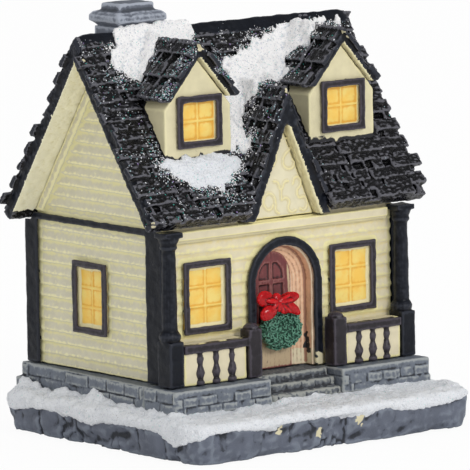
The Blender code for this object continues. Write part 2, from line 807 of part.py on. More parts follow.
def wall_trims():
    """The black corner boards and eave band on each gable wall, in one frame."""
    band_bottom = EAVE_BAND_TOP - EAVE_BAND
    field_front = FRONT_Y + CORNER_BOARD_FRONT
    field_back = BACK_Y - CORNER_BOARD_BACK
    eave = BACK_SLOPE.at(BACK_SLOPE.length, -ROOF_THICKNESS).y - GAP
    loop = [
        (FRONT_Y, WALL_BOTTOM),
        (field_front, WALL_BOTTOM),
        (field_front, band_bottom),
        (field_back, band_bottom),
        (field_back, WALL_BOTTOM),
        (BACK_Y, WALL_BOTTOM),
        (BACK_Y, eave),
        (BACK_SLOPE.at_height(eave, -ROOF_THICKNESS - GAP).x, eave),
        (BACK_SLOPE.at_height(EAVE_BAND_TOP, -ROOF_THICKNESS - GAP).x, EAVE_BAND_TOP),
        (FRONT_Y, EAVE_BAND_TOP),
    ]
    for side, sign in (("left", -1), ("right", 1)):
        middle = sign * (HALF + GAP + TRIM / 2)
        plate(f"wall_trim_{side}", [loop], TRIM, stand_off(ALONG, middle), "black_paint")


def front_frieze():
    """A moulded cornice under the front eave, between the column heads."""
    face = FRONT_Y - GAP
    front = face - FRIEZE_DEPTH
    cove = arc((front, FRIEZE_BOTTOM), FRIEZE_DEPTH / 2, 90, 0, 4)
    section = [(face, FRIEZE_TOP), (face, FRIEZE_BOTTOM), *reversed(cove), (front, FRIEZE_TOP)]
    half = COLUMN_X - CAPITAL_HALF - GAP
    plate("front_frieze", [section], 2 * half, ALONG, "cream_paint")


# Windows


def window(name, frame, centre, bottom, size, columns, rows):
    """A black frame on the wall's face and a lit pane in the opening behind it."""
    width, height = size
    left, right, top = centre - width / 2, centre + width / 2, bottom + height
    outer = rectangle(left, right, bottom, top)
    bar = FRAME_BAR
    inner = rectangle(left + bar, right - bar, bottom + bar, top - bar)
    plate(
        f"window_frame_{name}",
        [outer, inner],
        FRAME_THICKNESS,
        stand_off(frame, GAP + FRAME_THICKNESS / 2),
        "black_paint",
    )
    lap = FRAME_LAP + GAP
    pane(f"window_pane_{name}", frame, (left + lap, right - lap), (bottom + lap, top - lap), columns, rows)


def pane(name, frame, across, up, columns, rows):
    """A pane with raised glazing bars: its front is a grid whose lights are sunk."""
    bm = bmesh.new()
    bmesh.ops.create_cube(bm, size=1)
    width, height = across[1] - across[0], up[1] - up[0]
    bmesh.ops.scale(bm, vec=(width, height, PANE_THICKNESS), verts=bm.verts)
    border = FRAME_BAR - FRAME_LAP - GAP
    for count, axis, size in ((columns, 0, width), (rows, 1, height)):
        clear = size - 2 * border
        for i in range(count + 1):
            normal = [0, 0, 0]
            normal[axis] = 1
            place = [0, 0, 0]
            place[axis] = -clear / 2 + clear * i / count
            geometry = bm.verts[:] + bm.edges[:] + bm.faces[:]
            bmesh.ops.bisect_plane(bm, geom=geometry, plane_co=place, plane_no=normal)
    lights = []
    for face in bm.faces:
        middle = face.calc_center_median()
        in_view = abs(middle.x) < width / 2 - border and abs(middle.y) < height / 2 - border
        if face.normal.z > 0.5 and in_view:
            lights.append(face)
    bmesh.ops.inset_individual(bm, faces=lights, thickness=MUNTIN / 2)
    for face in lights:
        bmesh.ops.translate(bm, verts=face.verts, vec=(0, 0, -PANE_RELIEF))
    middle = Vector(((across[0] + across[1]) / 2, (up[0] + up[1]) / 2, -PANE_THICKNESS / 2))
    add_mesh(name, bm, "lit_pane", frame @ Matrix.Translation(middle))


def dormer_frame(side):
    return facing((1, 0, 0), (0, -1, 0), (DORMER_CENTRES[side], DORMER_WALL_Y, 0))


def windows():
    for side, (centre, bottom) in FRONT_WINDOWS.items():
        window(f"front_{side}", FRONT, centre, bottom, front_window(bottom), 2, 3)
    window("left_side", LEFT, -SIDE_WINDOW_Y, SIDE_WINDOW_BOTTOM, SIDE_WINDOW, 2, 3)
    window("right_side", RIGHT, SIDE_WINDOW_Y, SIDE_WINDOW_BOTTOM, SIDE_WINDOW, 2, 3)
    window("back", BACK, 0, BACK_WINDOW_BOTTOM, BACK_WINDOW, 2, 3)
    for side in DORMER_CENTRES:
        frame = dormer_frame(side)
        window(f"dormer_{side}", frame, 0, DORMER_WINDOW_BOTTOM, DORMER_WINDOW, 2, 2)


# Door


def arch_ring(name, outer, inner, thickness, frame, look=None):
    """An arch with two legs that stand on the floor."""
    outside = arch(DOOR_X, outer, WALL_BOTTOM, ARCH_SPRING)
    inside = arch(DOOR_X, inner, WALL_BOTTOM, ARCH_SPRING)
    return plate(name, [outside + inside[::-1]], thickness, frame, look)


def door_arch():
    """The black arch on the wall's face and the lining behind it, whose inner end is moulded in steps."""
    arch_ring(
        "door_arch_frame",
        ARCH_RADIUS,
        ARCH_RADIUS - ARCH_BAR,
        ARCH_THICKNESS,
        stand_off(FRONT, GAP + ARCH_THICKNESS / 2),
        "black_paint",
    )
    frame = stand_off(FRONT, -JAMB_END / 2)
    jamb = arch_ring("door_jamb", LINING_RADIUS, DOORWAY_RADIUS, JAMB_END, frame, "door_wood")
    for i in range(JAMB_STEP_COUNT):
        radius = LINING_RADIUS - JAMB_THICKNESS - i * JAMB_STEP
        opening = arch(DOOR_X, radius, WALL_BOTTOM - WALL, ARCH_SPRING)
        depth = JAMB_REVEAL + i * JAMB_STEP_DEPTH
        cut(jamb, plate(f"jamb_step_{i}", [opening], 2 * depth, FRONT))


def front_door():
    """A round-headed leaf behind the jamb: sunk panels in pairs above, planks below."""
    leaf = plate(
        "front_door",
        [arch(DOOR_X, DOORWAY_RADIUS + DOOR_LAP, WALL_BOTTOM, ARCH_SPRING)],
        DOOR_THICKNESS,
        stand_off(FRONT, -DOOR_SET_BACK - DOOR_THICKNESS / 2),
        "door_wood",
    )
    face = stand_off(FRONT, -DOOR_SET_BACK)
    pitch = DOOR_PANEL_HEIGHT + DOOR_STILE
    top = ARCH_SPRING + DOORWAY_RADIUS - DOOR_STILE
    panel_foot = top - DOOR_PANEL_ROW_COUNT * pitch
    head = arch(DOOR_X, DOORWAY_RADIUS - DOOR_STILE, panel_foot, ARCH_SPRING)
    for column in (-1, 1):
        near, far = DOOR_STILE / 2, DOORWAY_RADIUS
        low, high = sorted((DOOR_X + column * near, DOOR_X + column * far))
        rows = plate(f"door_panels_{column}", [head], 2 * DOOR_PANEL_SINK, face)
        trim_to(rows, panel_rows(f"door_panel_rows_{column}", low, high, panel_foot, pitch))
        cut(leaf, rows)
    for i in range(1, DOOR_PLANK_COUNT):
        x = DOOR_X + DOORWAY_RADIUS * (2 * i / DOOR_PLANK_COUNT - 1)
        groove = rectangle(x - DOOR_GROOVE / 2, x + DOOR_GROOVE / 2, WALL_BOTTOM - DOOR_STILE, panel_foot)
        cut(leaf, plate(f"door_groove_{i}", [groove], 2 * DOOR_GROOVE, face))


def panel_rows(name, low, high, foot, pitch):
    """A column of panels, one above the other, as one cutter's parts."""
    rows = None
    for i in range(DOOR_PANEL_ROW_COUNT):
        bottom = foot + i * pitch + DOOR_STILE / 2
        y = FRONT_Y + DOOR_SET_BACK
        near, far = y - DOOR_STILE, y + DOOR_STILE
        row = box(f"{name}_{i}", (low, near, bottom), (high, far, bottom + DOOR_PANEL_HEIGHT))
        if rows:
            fuse(rows, row)
        else:
            rows = row
    return rows


def door_wreath():
    """A thick evergreen ring hung on the door, its needles in tufts."""
    place = Matrix.Translation((DOOR_X, WREATH_Y, WREATH_HEIGHT))
    bpy.ops.mesh.primitive_torus_add(
        major_segments=24,
        minor_segments=8,
        major_radius=WREATH_RADIUS,
        minor_radius=WREATH_TUBE - NEEDLE_TUFT / 2,
        rotation=(math.radians(90), 0, 0),
    )
    ring = bpy.context.object
    mesh = ring.data
    mesh.transform(ring.matrix_world)
    bpy.data.objects.remove(ring)
    for vertex in mesh.vertices:
        tuft = noise.noise(vertex.co / NEEDLE_SIZE)
        spine = Vector((vertex.co.x, 0, vertex.co.z)).normalized() * WREATH_RADIUS
        vertex.co += (vertex.co - spine).normalized() * tuft * NEEDLE_TUFT
    mesh.shade_smooth()
    add_object("door_wreath", mesh, "wreath_green", place)


# The bow's puffs of ribbon: where each lies from the wreath's centre (across, up, forward), its half sizes
# across and up, and its tilt in degrees
BOW_PUFFS = {
    "knot": ((-3.1, 6.5, 2.6), (1.5, 2.0), 0),
    "left_loop": ((-5.9, 7.4, 2.3), (2.2, 1.8), -8),
    "right_loop": ((0.5, 7.0, 2.3), (2.85, 1.3), 4),
    "left_tail": ((-5.5, 4.5, 3.0), (2.4, 1.6), 22),
    "right_tail": ((0.8, 4.9, 2.9), (2.7, 1.1), -36),
    "middle_tail": ((-1.4, 5.2, 2.8), (1.8, 1.2), -45),
}


def wreath_bow():
    """A ribbon bow on the wreath's head: a knot, two loops and the tails, in one."""
    frame = facing((1, 0, 0), (0, -1, 0), (DOOR_X, WREATH_Y, WREATH_HEIGHT))
    bow = None
    for name, (centre, (half_length, half_height), tilt) in BOW_PUFFS.items():
        bm = bmesh.new()
        bmesh.ops.create_uvsphere(bm, u_segments=14, v_segments=8, radius=1)
        sizes = (half_length * MM, half_height * MM, BOW_THICKNESS / 2)
        bmesh.ops.scale(bm, vec=sizes, verts=bm.verts)
        turn = Matrix.Translation(Vector(centre) * MM) @ Matrix.Rotation(math.radians(tilt), 4, "Z")
        if bow:
            fuse(bow, add_mesh(f"bow_{name}", bm, None, frame @ turn))
        else:
            bow = add_mesh("wreath_bow", bm, "ribbon_red", frame @ turn)


# Porch


def column(side, sign):
    """A turned column with a moulded base and capital, on a square pedestal."""
    x = sign * COLUMN_X
    y = FRONT_Y - COLUMN_STAND_OFF
    r = COLUMN_RADIUS
    profile = [
        (0, COLUMN_TOP - 1.0 * MM),
        (r * 1.35, COLUMN_TOP - 1.0 * MM),
        (r * 1.32, COLUMN_TOP - 1.8 * MM),
        (r * 1.05, COLUMN_TOP - 2.8 * MM),
        (r * 1.14, COLUMN_TOP - 3.1 * MM),
        (r * 1.14, COLUMN_TOP - 3.6 * MM),
        (r * 0.88, COLUMN_TOP - 4.0 * MM),
        (r, PEDESTAL_TOP + 9 * MM),
        (r, PEDESTAL_TOP + 2.4 * MM),
        (r * 1.2, PEDESTAL_TOP + 2.0 * MM),
        (r * 1.42, PEDESTAL_TOP + 1.3 * MM),
        (r * 1.35, PEDESTAL_TOP + 0.5 * MM),
        (r * 1.1, PEDESTAL_TOP - 0.4 * MM),
        (0, PEDESTAL_TOP - 0.4 * MM),
    ]
    shaft = turned(f"porch_column_{side}", profile, "black_paint", Matrix.Translation((x, y, 0)))
    half = PEDESTAL_WIDTH / 2
    face = FRONT_Y - GAP
    front = FRONT_Y - PEDESTAL_FRONT
    pedestal = box(f"pedestal_{side}", (x - half, front, WALL_BOTTOM), (x + half, face, PEDESTAL_TOP))
    abacus_reach = CAPITAL_HALF
    abacus = box(
        f"abacus_{side}",
        (x - abacus_reach, y - abacus_reach + 0.3 * MM, COLUMN_TOP - 1.2 * MM),
        (x + abacus_reach, min(y + abacus_reach, face), COLUMN_TOP),
    )
    fuse(shaft, pedestal, abacus)
    reach = PEDESTAL_WIDTH
    low, high = (x - reach, face, WALL_BOTTOM - MM), (x + reach, face + reach, COLUMN_TOP + MM)
    cut(shaft, box(f"column_clearance_{side}", low, high))


def railing_ends(side):
    """Where a railing starts at the pedestal and ends at the newel's middle, low x first."""
    pedestal = COLUMN_X - PEDESTAL_WIDTH / 2 - GAP
    if side == "left":
        return -pedestal, DOOR_X - NEWEL_OFFSET
    return DOOR_X + NEWEL_OFFSET, pedestal


def parapet(side):
    """The cream wall behind the balusters, with its ledge."""
    low, high = railing_ends(side)
    clear = NEWEL_WIDTH / 2 + GAP
    low, high = (low, high - clear) if side == "left" else (low + clear, high)
    front = FRONT_Y - RAIL_FRONT + RAIL_WIDTH + GAP
    box(
        f"parapet_{side}",
        (low, front, WALL_BOTTOM),
        (high, FRONT_Y - GAP, RAIL_TOP),
        "cream_paint",
    )


def balustrade(side):
    """Rail, turned balusters and newel post in one."""
    low, high = railing_ends(side)
    front = FRONT_Y - RAIL_FRONT
    rail_bottom = RAIL_TOP - RAIL_HEIGHT
    far = (high, front + RAIL_WIDTH, RAIL_TOP)
    rail = box(f"balustrade_{side}", (low, front, rail_bottom), far, "black_paint")
    newel_x = high if side == "left" else low
    half = NEWEL_WIDTH / 2
    newel = box(
        f"newel_{side}",
        (newel_x - half, front - 0.2 * MM, WALL_BOTTOM),
        (newel_x + half, front + NEWEL_WIDTH - 0.2 * MM, NEWEL_TOP - 1.4 * MM),
    )
    cap_profile = [
        (0, NEWEL_TOP),
        (half * 0.6, NEWEL_TOP - 0.25 * MM),
        (half * 0.98, NEWEL_TOP - 0.9 * MM),
        (half * 0.98, NEWEL_TOP - 1.6 * MM),
        (0, NEWEL_TOP - 1.6 * MM),
    ]
    middle_y = front - 0.2 * MM + half
    cap = turned(f"newel_cap_{side}", cap_profile, None, Matrix.Translation((newel_x, middle_y, 0)), 12)
    fuse(rail, newel, cap)
    rail_end, newel_end = (low, newel_x - half) if side == "left" else (high, newel_x + half)
    r = BALUSTER_RADIUS
    height = rail_bottom - WALL_BOTTOM
    neck = ((1.04, 0.62), (0.9, 0.62), (0.8, 0.8), (0.62, 0.55))
    bulb = ((0.36, 1.0), (0.16, 0.62), (0.1, 0.95), (0, 0.95))
    profile = [(0, WALL_BOTTOM + neck[0][0] * height)]
    profile += [(r * width, WALL_BOTTOM + height * level) for level, width in (*neck, *bulb)]
    profile.append((0, WALL_BOTTOM))
    for i in range(BALUSTER_COUNT):
        x = rail_end + (newel_end - rail_end) * (i + 1) / (BALUSTER_COUNT + 1)
        place = Matrix.Translation((x, front + RAIL_WIDTH / 2, 0))
        fuse(rail, turned(f"baluster_{side}_{i}", profile, None, place, 10))


def porch():
    for side, sign in (("left", -1), ("right", 1)):
        column(side, sign)
        parapet(side)
        balustrade(side)


# Roof


def attic():
    """The space inside the roof and walls, which the cross gable's roof stops at."""
    front = FRONT_INSIDE + GAP
    loop = [
        (front, WALL_BOTTOM),
        (front, FRONT_SLOPE.at_across(front, -ROOF_THICKNESS).y),
        apex(MAIN, -ROOF_THICKNESS),
        (BACK_Y, BACK_SLOPE.at_across(BACK_Y, -ROOF_THICKNESS).y),
        (BACK_Y, WALL_BOTTOM),
    ]
    return plate("attic", [loop], HOUSE_LENGTH, ALONG)


def below_front_slope():
    """What lies under the front slope's shingles, which the dormers are cut by."""
    reach = FRONT_SLOPE.length
    loop = [
        FRONT_SLOPE.at(-reach / 4, GAP),
        FRONT_SLOPE.at(reach * 1.2, GAP),
        FRONT_SLOPE.at(reach * 1.2, -reach),
        FRONT_SLOPE.at(-reach / 4, -reach),
    ]
    return plate("below_front_slope", [loop], 4 * HALF, ALONG)


def chimney_plan(grow):
    left, right = CHIMNEY_X - CHIMNEY_LENGTH / 2, CHIMNEY_X + CHIMNEY_LENGTH / 2
    front = RIDGE_Y + CHIMNEY_FRONT
    back = front + CHIMNEY_DEPTH
    return (left - grow, front - grow), (right + grow, back + grow)


def chimney_hole():
    low, high = chimney_plan(GAP)
    return box("chimney_hole", (*low, CHIMNEY_FOOT - 5 * MM), (*high, CHIMNEY_TOP + 5 * MM))


def main_roof():
    """Two slopes of shingle courses that meet under the ridge cap."""
    slab = -ROOF_THICKNESS
    for name, slope, sign in (("roof_front", FRONT_SLOPE, -1), ("roof_back", BACK_SLOPE, 1)):
        joint = RIDGE_Y + sign * GAP / 2
        section = slope.courses(ROOF_COURSES, SHINGLE_BUTT)
        section[0] = slope.at_across(joint, 0)
        section += [slope.at(slope.length, slab), slope.at_across(joint, slab)]
        plate(name, [section], 2 * VERGE_X, ALONG, "black_shingle")
    front, back = HOUSE.objects["roof_front"], HOUSE.objects["roof_back"]
    cut(back, chimney_hole())
    grown = gable_pair(DOOR_X, GABLE_HEIGHT, GABLE_HALF, GABLE_EAVE_HEIGHT)
    notch = under(grown, GAP, GABLE_EAVE_HEIGHT - ROOF_THICKNESS)
    front_edge = FRONT_Y - 2 * FRONT_OVERHANG
    depth = RIDGE_Y - front_edge
    cut(front, plate("gable_notch", [notch], depth, stand_off(ACROSS, -(front_edge + RIDGE_Y) / 2)))
    for side, x in DORMER_CENTRES.items():
        half = LIGHT_PORT / 2
        y = DORMER_WALL_Y + DORMER_SHELL + half + MM
        low = (x - half, y - half, FRONT_EAVE_HEIGHT)
        cut(front, box(f"light_port_{side}", low, (x + half, y + half, DORMER_HEIGHT)))


def ridge_cap():
    """A rounded roll over the ridge, notched at the chimney."""
    lift = GAP + RIDGE_CAP_THICKNESS
    width = RIDGE_CAP_WIDTH
    front, back = MAIN
    crown = apex(MAIN, lift)
    section = [
        front.at(width, GAP),
        front.at(width, lift - 0.2 * MM),
        front.at(width * 0.35, lift),
        crown.lerp(apex(MAIN, GAP), 0.3),
        back.at(width * 0.35, lift),
        back.at(width, lift - 0.2 * MM),
        back.at(width, GAP),
        apex(MAIN, GAP),
    ]
    cap = plate("ridge_cap", [section], 2 * VERGE_X, ALONG, "black_paint")
    cut(cap, bpy.data.objects["chimney_hole"])


def shingled_gable(name, pair, thickness, count, front, back):
    """A roof with a ridge that runs front to back: two stepped slopes over a hollow."""
    left, right = pair
    slab = -thickness
    level = left.at(left.length, 0).y
    section = left.courses(count, SHINGLE_BUTT)[::-1] + right.courses(count, SHINGLE_BUTT)[1:]
    section += [right.at_height(level, slab), apex(pair, slab), left.at_height(level, slab)]
    middle = (front + back) / 2
    return plate(name, [section], back - front, stand_off(ACROSS, -middle), "black_shingle")


def cross_gable():
    front = FRONT_Y - GABLE_OVERHANG
    roof = shingled_gable(
        "gable_roof", GABLE, GABLE_ROOF_THICKNESS, GABLE_COURSES, front, front + GABLE_REACH
    )
    cut(roof, attic())
    inside = -GABLE_ROOF_THICKNESS - GAP
    left, right = GABLE
    wall = [
        left.at_height(GABLE_EAVE_HEIGHT, inside),
        right.at_height(GABLE_EAVE_HEIGHT, inside),
        apex(GABLE, inside),
    ]
    plate("gable_wall", [wall], WALL, stand_off(FRONT, -WALL / 2), "cream_paint")


def dormers():
    below = below_front_slope()
    back = RIDGE_Y + DORMER_REACH
    for side, x in DORMER_CENTRES.items():
        pair = gable_pair(x, DORMER_HEIGHT, DORMER_EAVE_HALF, DORMER_EAVE_HEIGHT)
        front = DORMER_WALL_Y - DORMER_OVERHANG
        roof = shingled_gable(
            f"dormer_roof_{side}", pair, DORMER_ROOF_THICKNESS, DORMER_COURSES, front, back
        )
        under_roof = -DORMER_ROOF_THICKNESS - GAP
        bottom = DORMER_WINDOW_BOTTOM - DORMER_APRON
        outline = house_outline(pair, under_roof, x, DORMER_HALF, bottom)
        length = back - DORMER_WALL_Y
        middle = -(DORMER_WALL_Y + length / 2)
        body = plate(f"dormer_{side}", [outline], length, stand_off(ACROSS, middle), "cream_paint")
        half = DORMER_HALF - DORMER_SHELL
        hollow = house_outline(pair, under_roof - DORMER_SHELL, x, half, bottom - DORMER_SHELL)
        room = plate(f"dormer_room_{side}", [hollow], length, stand_off(ACROSS, middle - DORMER_SHELL))
        opening = window_opening(
            f"dormer_opening_{side}", dormer_frame(side), 0, DORMER_WINDOW_BOTTOM, DORMER_WINDOW
        )
        cut(body, room, opening, below, ridge_clearance())
        cut(roof, below, ridge_clearance())


def house_outline(pair, h, centre, half, bottom):
    """Two walls and a gable under a roof's slopes."""
    left, right = pair
    return [
        (centre - half, bottom),
        (centre + half, bottom),
        right.at_across(centre + half, h),
        apex(pair, h),
        left.at_across(centre - half, h),
    ]


def ridge_clearance():
    """The space that the ridge cap and the back slope take, kept clear of the dormers."""
    if "ridge_clearance" in bpy.data.objects:
        return bpy.data.objects["ridge_clearance"]
    start = FRONT_SLOPE.at(RIDGE_CAP_WIDTH + GAP, GAP + RIDGE_CAP_THICKNESS)
    low = (-VERGE_X, start.x, EAVE_BAND_TOP)
    return box("ridge_clearance", low, (VERGE_X, BACK_Y + HOUSE_DEPTH, 2 * RIDGE_HEIGHT))


def chimney():
    low, high = chimney_plan(0)
    box("chimney_stack", (*low, CHIMNEY_FOOT), (*high, CHIMNEY_TOP), "slate_paint")
    # Each level of the cap: a share of its height, and of its spread past the stack
    cove = ((0, 0), (0.13, 0.25), (0.22, 0.75), (0.25, 1))
    slab = ((0.48, 1), (0.53, 0.8), (0.64, 0.45), (0.68, -0.35))
    block = ((0.95, -0.35), (1, -0.5))
    rings = []
    for level, share in (*cove, *slab, *block):
        (left, front), (right, back) = chimney_plan(CHIMNEY_CAP_SPREAD * share)
        z = CHIMNEY_TOP + GAP + CHIMNEY_CAP_HEIGHT * level
        rings.append([(*corner, z) for corner in rectangle(left, right, front, back)])
    loft("chimney_cap", rings, "slate_paint")


# Outlines of the snow on the front slope, each point across and down it in millimetres from its anchor
SNOW_ANCHORS = {
    "chimney": (CHIMNEY_X, 0),
    "ridge": (DOOR_X, 0),
    "valley": (DOOR_X, GABLE_MEETS),
    "eave": (DORMER_CENTRES["left"], DORMER_FOOT),
}
SNOW_PATCHES = {
    "chimney": (
        (-3.0, 4.4), (-7.7, 3.5), (-12.1, 4.8), (-13.1, 8.6), (-11.9, 11.7), (-8.7, 12.4), (-6.0, 9.6),
    ),
    "ridge": ((0.5, 8.4), (5.2, 6.2), (10.8, 4.3), (13.4, 5.2), (11.8, 9.0), (5.6, 12.6), (1.4, 12.9)),
    "valley": (
        (-1.3, -6.0), (-3.0, -3.9), (-6.2, 1.7), (-9.6, 10.9),
        (-8.6, 16.3), (-5.6, 14.3), (-3.2, 6.9), (-1.6, -0.5),
    ),
    "eave": (
        (-12.0, 1.0), (-12.6, 2.8), (-9.4, 5.6), (-5.0, 8.4), (-0.4, 9.4), (5.4, 8.0),
        (10.0, 3.6), (9.2, 1.0), (1.1, 0.8), (-6.4, 0.8),
    ),
}


def smooth_loop(points, count):
    """A closed curve through the points."""
    made = []
    total = len(points)
    for i in range(count):
        t = i * total / count
        k = int(t)
        f = t - k
        a, b, c, d = (Vector(points[(k + j) % total]) for j in (-1, 0, 1, 2))
        square = 2 * a - 5 * b + 4 * c - d
        cube = 3 * b - a - 3 * c + d
        made.append(0.5 * (2 * b + (c - a) * f + square * f**2 + cube * f**3))
    return made


def roof_snow():
    """Patches of snow that lie on the front slope's shingles."""
    grown = under(GABLE, 2 * GAP, GABLE_EAVE_HEIGHT - GABLE_REACH)
    gable_space = plate("gable_space", [grown], 3 * GABLE_REACH, ACROSS)
    for name, points in SNOW_PATCHES.items():
        anchor_x, anchor_s = SNOW_ANCHORS[name]
        loop = smooth_loop([(anchor_x + x * MM, anchor_s + s * MM) for x, s in points], SNOW_OUTLINE_COUNT)
        rings = []
        for height, depth in ((0, 0), (0.4, -0.1), (0.8, 0.35), (1, 1.0)):
            ring = []
            for x, s in inset(loop, depth * ROOF_SNOW_THICKNESS):
                spot = FRONT_SLOPE.at(s, GAP + height * ROOF_SNOW_THICKNESS)
                ring.append((x, spot.x, spot.y))
            rings.append(ring)
        patch = loft(f"roof_snow_{name}", rings, "snow")
        cut(patch, gable_space, ridge_clearance())


# Light unit


def cover_outline(name, grow, low, high, look=None):
    """The battery cover's plan: a disc with a hinge tab and a screw tab."""
    x = CELL_X
    disc = cylinder(name, COVER_RADIUS + grow, low, high, look, centre=(x, 0))
    half_hinge = HINGE_WIDTH / 2 + grow
    hinge = box(f"{name}_hinge_tab", (x - half_hinge, HINGE_Y, low), (x + half_hinge, -CELL_RADIUS, high))
    half_tab = SCREW_TAB_WIDTH / 2 + grow
    end = COVER_RADIUS + SCREW_TAB_LENGTH + grow
    tab = box(f"{name}_screw_tab", (x - half_tab, CELL_RADIUS, low), (x + half_tab, end, high))
    fuse(disc, hinge, tab)
    return disc


def knuckle(name, radius, half):
    """The rounded bar that a hinge tab turns on."""
    bm = bmesh.new()
    bmesh.ops.create_cone(bm, cap_ends=True, segments=16, radius1=radius, radius2=radius, depth=2 * half)
    place = Matrix.Translation((CELL_X, HINGE_Y, HINGE_Z)) @ Matrix.Rotation(math.radians(90), 4, "Y")
    return add_mesh(name, bm, None, place)


def light_housing():
    """The round plastic unit: a flange, a battery bay, a switch slot and a lamp socket."""
    bottom = UNIT_RECESS
    joint = bottom + FLANGE_THICKNESS / 2
    body = cylinder("light_housing", UNIT_RADIUS, joint, UNIT_TOP, "white_plastic", sides=56)
    flange = cylinder("flange", FLANGE_RADIUS, bottom, bottom + FLANGE_THICKNESS, sides=56)
    turret = cylinder("lamp_turret", TURRET_RADIUS, BAY_TOP + 0.5 * MM, TURRET_TOP, sides=24)
    fuse(body, flange, turret)
    recess_top = bottom + COVER_THICKNESS + GAP
    recess = cover_outline("cover_recess", GAP, bottom - 1 * MM, recess_top)
    swing = COVER_THICKNESS / 2 + GAP
    hinge_seat = box(
        "hinge_seat",
        (CELL_X - HINGE_WIDTH / 2 - GAP, HINGE_Y - swing, bottom - 1 * MM),
        (CELL_X + HINGE_WIDTH / 2 + GAP, HINGE_Y + swing, recess_top),
    )
    bay = cylinder("battery_bay", CELL_RADIUS + GAP, bottom, BAY_TOP, centre=(CELL_X, 0))
    boss_top = recess_top + SCREW_LENGTH
    tip_room = SCREW_RADIUS + SCREW_SWING
    boss = cylinder("screw_hole", tip_room, bottom, boss_top, centre=(CELL_X, SCREW_Y), sides=16)
    socket = cylinder("lamp_socket", LAMP_RADIUS + LAMP_RIM + GAP, LAMP_SEAT, TURRET_TOP + 1 * MM, sides=24)
    slot_half = (KNOB_LENGTH + SWITCH_TRAVEL) / 2 + GAP
    knob_half = KNOB_WIDTH / 2 + GAP
    slot_top = bottom + FLANGE_THICKNESS
    slot = box(
        "switch_slot",
        (SWITCH_X - knob_half, -slot_half, bottom - 1 * MM),
        (SWITCH_X + knob_half, slot_half, slot_top + 1 * MM),
    )
    way_half = (SLIDER_LENGTH + SWITCH_TRAVEL) / 2 + GAP
    slider_half = SLIDER_WIDTH / 2 + GAP
    way = box(
        "slider_way",
        (SWITCH_X - slider_half, -way_half, slot_top),
        (SWITCH_X + slider_half, way_half, slot_top + SLIDER_THICKNESS + 2 * GAP),
    )
    cut(body, recess, hinge_seat, bay, boss, socket, slot, way)


def battery_cover():
    """The cover under the cell; it turns on its hinge tab once the screw is out."""
    bottom = UNIT_RECESS
    top = bottom + COVER_THICKNESS
    cover = cover_outline("battery_cover", 0, bottom, top, "white_plastic")
    fuse(cover, knuckle("cover_knuckle", COVER_THICKNESS / 2, HINGE_WIDTH / 2))
    centre = (CELL_X, SCREW_Y)
    head_top = bottom + SCREW_HEAD_HEIGHT
    seat = cylinder("head_seat", SCREW_HEAD_RADIUS + GAP, 0, head_top, centre=centre, sides=20)
    hole = cylinder("shank_hole", SCREW_RADIUS + GAP, bottom, top + 1 * MM, centre=centre, sides=16)
    cut(cover, seat, hole)
    half = GRIP_WIDTH / 2
    for i in range(GRIP_COUNT):
        x = CELL_X + (i - (GRIP_COUNT - 1) / 2) * GRIP_PITCH
        high = (x + half, COVER_RADIUS * 0.7, bottom + half)
        cut(cover, box(f"cover_grip_{i}", (x - half, COVER_RADIUS * 0.25, 0), high))


def cover_screw():
    """A small pan-head screw, held in the cover's tab."""
    head_bottom = UNIT_RECESS
    seat = head_bottom + SCREW_HEAD_HEIGHT - GAP
    tip = head_bottom + COVER_THICKNESS + SCREW_LENGTH - 2 * GAP
    profile = [
        (0, tip),
        (SCREW_RADIUS * 0.5, tip - 0.4 * MM),
        (SCREW_RADIUS, tip - 1.0 * MM),
        (SCREW_RADIUS, seat),
        (SCREW_HEAD_RADIUS, seat),
        (SCREW_HEAD_RADIUS, head_bottom),
        (0, head_bottom),
    ]
    screw = turned("cover_screw", profile, "steel", Matrix.Translation((CELL_X, SCREW_Y, 0)), 16)
    reach = SCREW_HEAD_RADIUS * 0.7
    half = 0.15 * MM
    for i, (x, y) in enumerate(((reach, half), (half, reach))):
        low = (CELL_X - x, SCREW_Y - y, head_bottom - 1 * MM)
        cut(screw, box(f"drive_{i}", low, (CELL_X + x, SCREW_Y + y, head_bottom + 0.25 * MM)))


def coin_cell():
    """A coin cell: a can with a rounded rim, and its smaller face upwards."""
    bottom = UNIT_RECESS + COVER_THICKNESS + GAP
    top = bottom + CELL_THICKNESS
    r = CELL_RADIUS
    profile = [
        (0, top),
        (r * 0.88, top),
        (r * 0.9, top - 0.4 * MM),
        (r * 0.97, top - 0.6 * MM),
        (r, top - 1.0 * MM),
        (r, bottom + 0.3 * MM),
        (r - 0.3 * MM, bottom),
        (0, bottom),
    ]
    turned("coin_cell", profile, "steel", Matrix.Translation((CELL_X, 0, 0)), 32)


def contact_leaf():
    """A sprung strip between the cell and the bay's roof."""
    cell_top = UNIT_RECESS + COVER_THICKNESS + GAP + CELL_THICKNESS
    low, high = cell_top + GAP, BAY_TOP - GAP
    t = LEAF_THICKNESS
    reach = CELL_RADIUS * 0.6
    shape = ((-1, high - t), (-0.55, high - t), (-0.15, low), (0.15, low), (0.55, high - t), (1, high - t))
    wave = [(reach * across, height) for across, height in shape]
    upper = [(across, height + t) for across, height in wave]
    plate("contact_leaf", [wave + upper[::-1]], LEAF_WIDTH, stand_off(ACROSS, 0, CELL_X), "steel")


def led_lamp():
    """A domed lamp in its socket, under the rooms that it lights."""
    seat = LAMP_SEAT + GAP
    r = LAMP_RADIUS
    top = seat + LAMP_HEIGHT
    dome = arc((0, top - r), r, 90, 0, 6)
    rim = r + LAMP_RIM
    profile = [*dome, (r, seat + 1 * MM), (rim, seat + 1 * MM), (rim, seat), (0, seat)]
    turned("led_lamp", profile, "lamp_plastic", Matrix.Translation((0, 0, 0)), 20)


